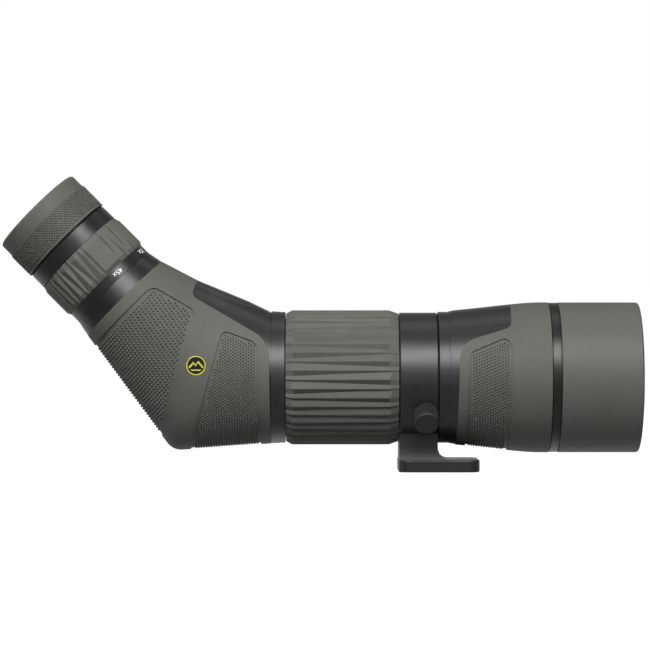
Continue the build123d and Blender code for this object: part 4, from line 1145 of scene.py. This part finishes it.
# ---------------------------------------------------------------- eyepiece
def wrapped_text(words, size, radius, station, angle):
    """Figures as a thin mesh bent round the eyepiece, their tops towards the objective."""
    curve = bpy.data.curves.new("figures", "FONT")
    curve.body = words
    curve.size = size
    curve.align_x = "CENTER"
    curve.align_y = "CENTER"
    curve.extrude = 0.05 * MM
    curve.offset = 0.02 * MM
    flat = bpy.data.objects.new("figures", curve)
    bpy.context.scene.collection.objects.link(flat)
    solved = flat.evaluated_get(bpy.context.evaluated_depsgraph_get())
    bm = bmesh.new()
    bm.from_mesh(solved.to_mesh())
    bpy.data.objects.remove(flat)
    for v in bm.verts:
        turn = angle - v.co.x / radius
        r = radius + v.co.z
        v.co = OCULAR @ Vector((station - v.co.y, -r * sin(turn), r * cos(turn)))
    bmesh.ops.remove_doubles(bm, verts=bm.verts, dist=1e-6)
    return bm


class SCOPE_OT_zoom_scale(PieceMaker, bpy.types.Operator):
    """Figures of the zoom scale round the ring"""

    bl_idname = "scope.zoom_scale"
    bl_label = "Zoom scale"

    def build(self, sizes):
        start = span("zoom_ring", OCULAR)[0]
        grip = span("zoom_grip", OCULAR)[0]
        back = OCULAR.inverted()
        corners = [back @ v.co for v in NODES["zoom_ring"].data.vertices]
        radius = max(corner.yz.length for corner in corners if start <= corner.x <= grip)
        middle = grip - 2.7 * MM
        size = sizes.figure_height * 1.35
        bm = bmesh.new()
        for words, degrees_up in (("45x", 18), ("35x", 68), ("25x", 118), ("20x", 168), ("15x", 218)):
            figures = wrapped_text(words, size, radius, middle, radians(degrees_up))
            bm.from_mesh(plain_mesh("figures", figures))
        piece("zoom_scale_figures", bm, "zoom_ring", ["White paint"], flat=True)


class SCOPE_OT_eyecup(PieceMaker, bpy.types.Operator):
    """Rubber eyecup: a band of small pads in staggered rows behind a smooth lip"""

    bl_idname = "scope.eyecup"
    bl_label = "Eyecup"

    def build(self, sizes):
        start, end, bore, radius = span("eyecup_rubber", OCULAR)
        _, sleeve_end, _, shell = span("eyecup_sleeve", OCULAR)
        lip = radius - 0.6 * MM
        band_end = start + 15.8 * MM
        floor = radius - 0.5 * MM
        guide = 23.6 * MM
        edge = 0.35 * MM
        bm = turned(OCULAR, [
            (start, shell), (start, radius - edge), (start + edge, radius),
            (start + 1.2 * MM, radius), (start + 1.4 * MM, floor), (band_end - 0.4 * MM, floor),
            (band_end, lip), (end - 1.6 * MM, lip), (end - 0.8 * MM, lip - 0.2 * MM),
            (end - 0.25 * MM, lip - 0.7 * MM), (end, lip - 1.5 * MM), (end, bore + 1.2 * MM),
            (end - 0.3 * MM, bore + 0.4 * MM), (end - 0.9 * MM, bore), (end - 2.2 * MM, bore + 0.2 * MM),
            (end - 3.6 * MM, guide), (sleeve_end, guide), (sleeve_end, shell),
        ])
        around = int(TURN * radius / sizes.pad_pitch)
        pad_start = start + 2.4 * MM
        row_step = sizes.pad_row / 2
        places = []
        for row in range(int((band_end - 0.6 * MM - pad_start) / row_step)):
            for k in range(around):
                turn = TURN * (k + 0.5 * (row % 2)) / around
                out = OCULAR.to_3x3() @ Vector((0, cos(turn), sin(turn)))
                at = OCULAR @ Vector((pad_start + row * row_step, 0, 0)) + out * (floor + 0.18 * MM)
                places.append(columns(at, EYE, out.cross(EYE), out))
        stamped(bm, self.pad(), places)
        piece("eyecup_grip", bm, "eyecup", ["Olive rubber"], ["eyecup_rubber"])

    def pad(self):
        """One small pad with sloping sides."""
        bm = bmesh.new()
        bmesh.ops.create_cone(
            bm, cap_ends=True, segments=4, radius1=1.0 * MM, radius2=0.88 * MM, depth=0.6 * MM,
            matrix=Matrix.Rotation(pi / 4, 4, "Z"),
        )
        bmesh.ops.scale(bm, vec=(0.66, 0.90, 1), verts=bm.verts)
        return plain_mesh("pad", bm)


# ---------------------------------------------------------------- stage
class SCOPE_OT_stage(bpy.types.Operator):
    """Pale floor, soft studio lights and the camera"""

    bl_idname = "scope.stage"
    bl_label = "Stage"

    def execute(self, context):
        scene = context.scene
        scene.view_settings.view_transform = "Standard"
        self.make_floor(scene)
        self.make_world(scene)
        low, high = CAD_BOX
        middle = (low + high) / 2
        self.softbox("Key", (middle.x - 0.1, -0.95, 0.86), middle, 1.6, 0.6, 24.0)
        self.softbox("Fill", (middle.x, -1.2, 0.3), middle, 1.6, 0.9, 1.2)
        self.softbox("Top", (middle.x, 0.25, 1.1), middle, 1.5, 0.4, 1.6)
        camera = bpy.data.cameras.new("Camera")
        camera.lens = 170.8
        camera.sensor_width = 36.0
        stand = bpy.data.objects.new("Camera", camera)
        stand.location = (-60.5 * MM, -1650 * MM, 78 * MM)
        stand.rotation_euler = (pi / 2, 0, 0)
        scene.collection.objects.link(stand)
        scene.camera = stand
        return {"FINISHED"}

    def make_floor(self, scene):
        """A wide pale floor that the camera and shadows see, but the object's surfaces don't."""
        bm = bmesh.new()
        bmesh.ops.create_grid(bm, x_segments=8, y_segments=8, size=6.0)
        bmesh.ops.translate(bm, vec=(0, 0, -130 * MM), verts=bm.verts)
        mesh = plain_mesh("studio_floor", bm)
        material = finish_material("Pale floor", scene.scope_colours.floor, 0.8, 300, 0.0002, 0.04,
                                   (0.85, 0.85, 0.85), 0.1, Emission_Color=(1, 1, 1, 1),
                                   Emission_Strength=1.0)
        mesh.materials.append(material)
        floor = bpy.data.objects.new("studio_floor", mesh)
        floor.visible_diffuse = False
        floor.visible_glossy = False
        scene.collection.objects.link(floor)

    def make_world(self, scene):
        """White where the camera looks; a low glow behind and a little light from below elsewhere."""
        world = bpy.data.worlds.new("Studio")
        world.use_nodes = True
        tree = world.node_tree
        seen = filled(tree, tree.nodes["Background"], {"Color": (1, 1, 1, 1), "Strength": 1.0})
        around = tree.nodes.new("ShaderNodeTexCoord").outputs["Generated"]
        direction = new_node(tree, "SeparateXYZ", {0: around}).outputs
        behind = spread(tree, direction["Y"], -0.1, 0.9, 0.0, 1.0)
        level = spread(tree, direction["Z"], 0.1, 0.6, 1.0, 0.12)
        below = spread(tree, direction["Z"], -0.9, -0.2, 0.30, 0.0)
        glow = maths(tree, "MULTIPLY", maths(tree, "MULTIPLY", behind, level), 0.8)
        strength = maths(tree, "ADD", glow, maths(tree, "ADD", below, 0.055))
        room = new_node(tree, "Background", {"Strength": strength})
        path = tree.nodes.new("ShaderNodeLightPath")
        mix = new_node(tree, "MixShader", {
            0: path.outputs["Is Camera Ray"], 1: room.outputs[0], 2: seen.outputs[0],
        })
        tree.links.new(mix.outputs[0], tree.nodes["World Output"].inputs["Surface"])
        scene.world = world

    def softbox(self, name, place, target, width, height, watts):
        """A rectangular light turned towards a target."""
        light = bpy.data.lights.new(name, "AREA")
        light.shape = "RECTANGLE"
        light.size = width
        light.size_y = height
        light.energy = watts
        lamp = bpy.data.objects.new(name, light)
        lamp.location = place
        lamp.rotation_mode = "QUATERNION"
        lamp.rotation_quaternion = (target - Vector(place)).to_track_quat("-Z", "Y")
        bpy.context.scene.collection.objects.link(lamp)


OPERATORS = (
    SCOPE_OT_finishes,
    SCOPE_OT_stage,
    SCOPE_OT_sunshade,
    SCOPE_OT_name_ring,
    SCOPE_OT_front_housing,
    SCOPE_OT_front_armour,
    SCOPE_OT_focus_grip,
    SCOPE_OT_lock_knob,
    SCOPE_OT_prism_housing,
    SCOPE_OT_rear_armour,
    SCOPE_OT_badge,
    SCOPE_OT_zoom_grip,
    SCOPE_OT_zoom_scale,
    SCOPE_OT_eyecup,
)


class SCOPE_PT_pieces(bpy.types.Panel):
    """Lists the pieces and what a user can set"""

    bl_idname = "SCOPE_PT_pieces"
    bl_label = "Spotting scope"
    bl_space_type = "VIEW_3D"
    bl_region_type = "UI"
    bl_category = "Scope"

    def draw(self, context):
        for operator in OPERATORS:
            self.layout.operator(operator.bl_idname)
        for group in (context.scene.scope_sizes, context.scene.scope_colours):
            box = self.layout.box()
            for name in group.__annotations__:
                box.prop(group, name)


CLASSES = (ScopeSizes, ScopeColours, *OPERATORS, SCOPE_PT_pieces)


def register():
    for made in CLASSES:
        bpy.utils.register_class(made)
    bpy.types.Scene.scope_sizes = PointerProperty(type=ScopeSizes)
    bpy.types.Scene.scope_colours = PointerProperty(type=ScopeColours)


def unregister():
    del bpy.types.Scene.scope_colours
    del bpy.types.Scene.scope_sizes
    for made in reversed(CLASSES):
        bpy.utils.unregister_class(made)


def main():
    """Build every piece in order."""
    register()
    for operator in OPERATORS:
        group, name = operator.bl_idname.split(".")
        getattr(getattr(bpy.ops, group), name)()


if __name__ == "__main__":
    main()
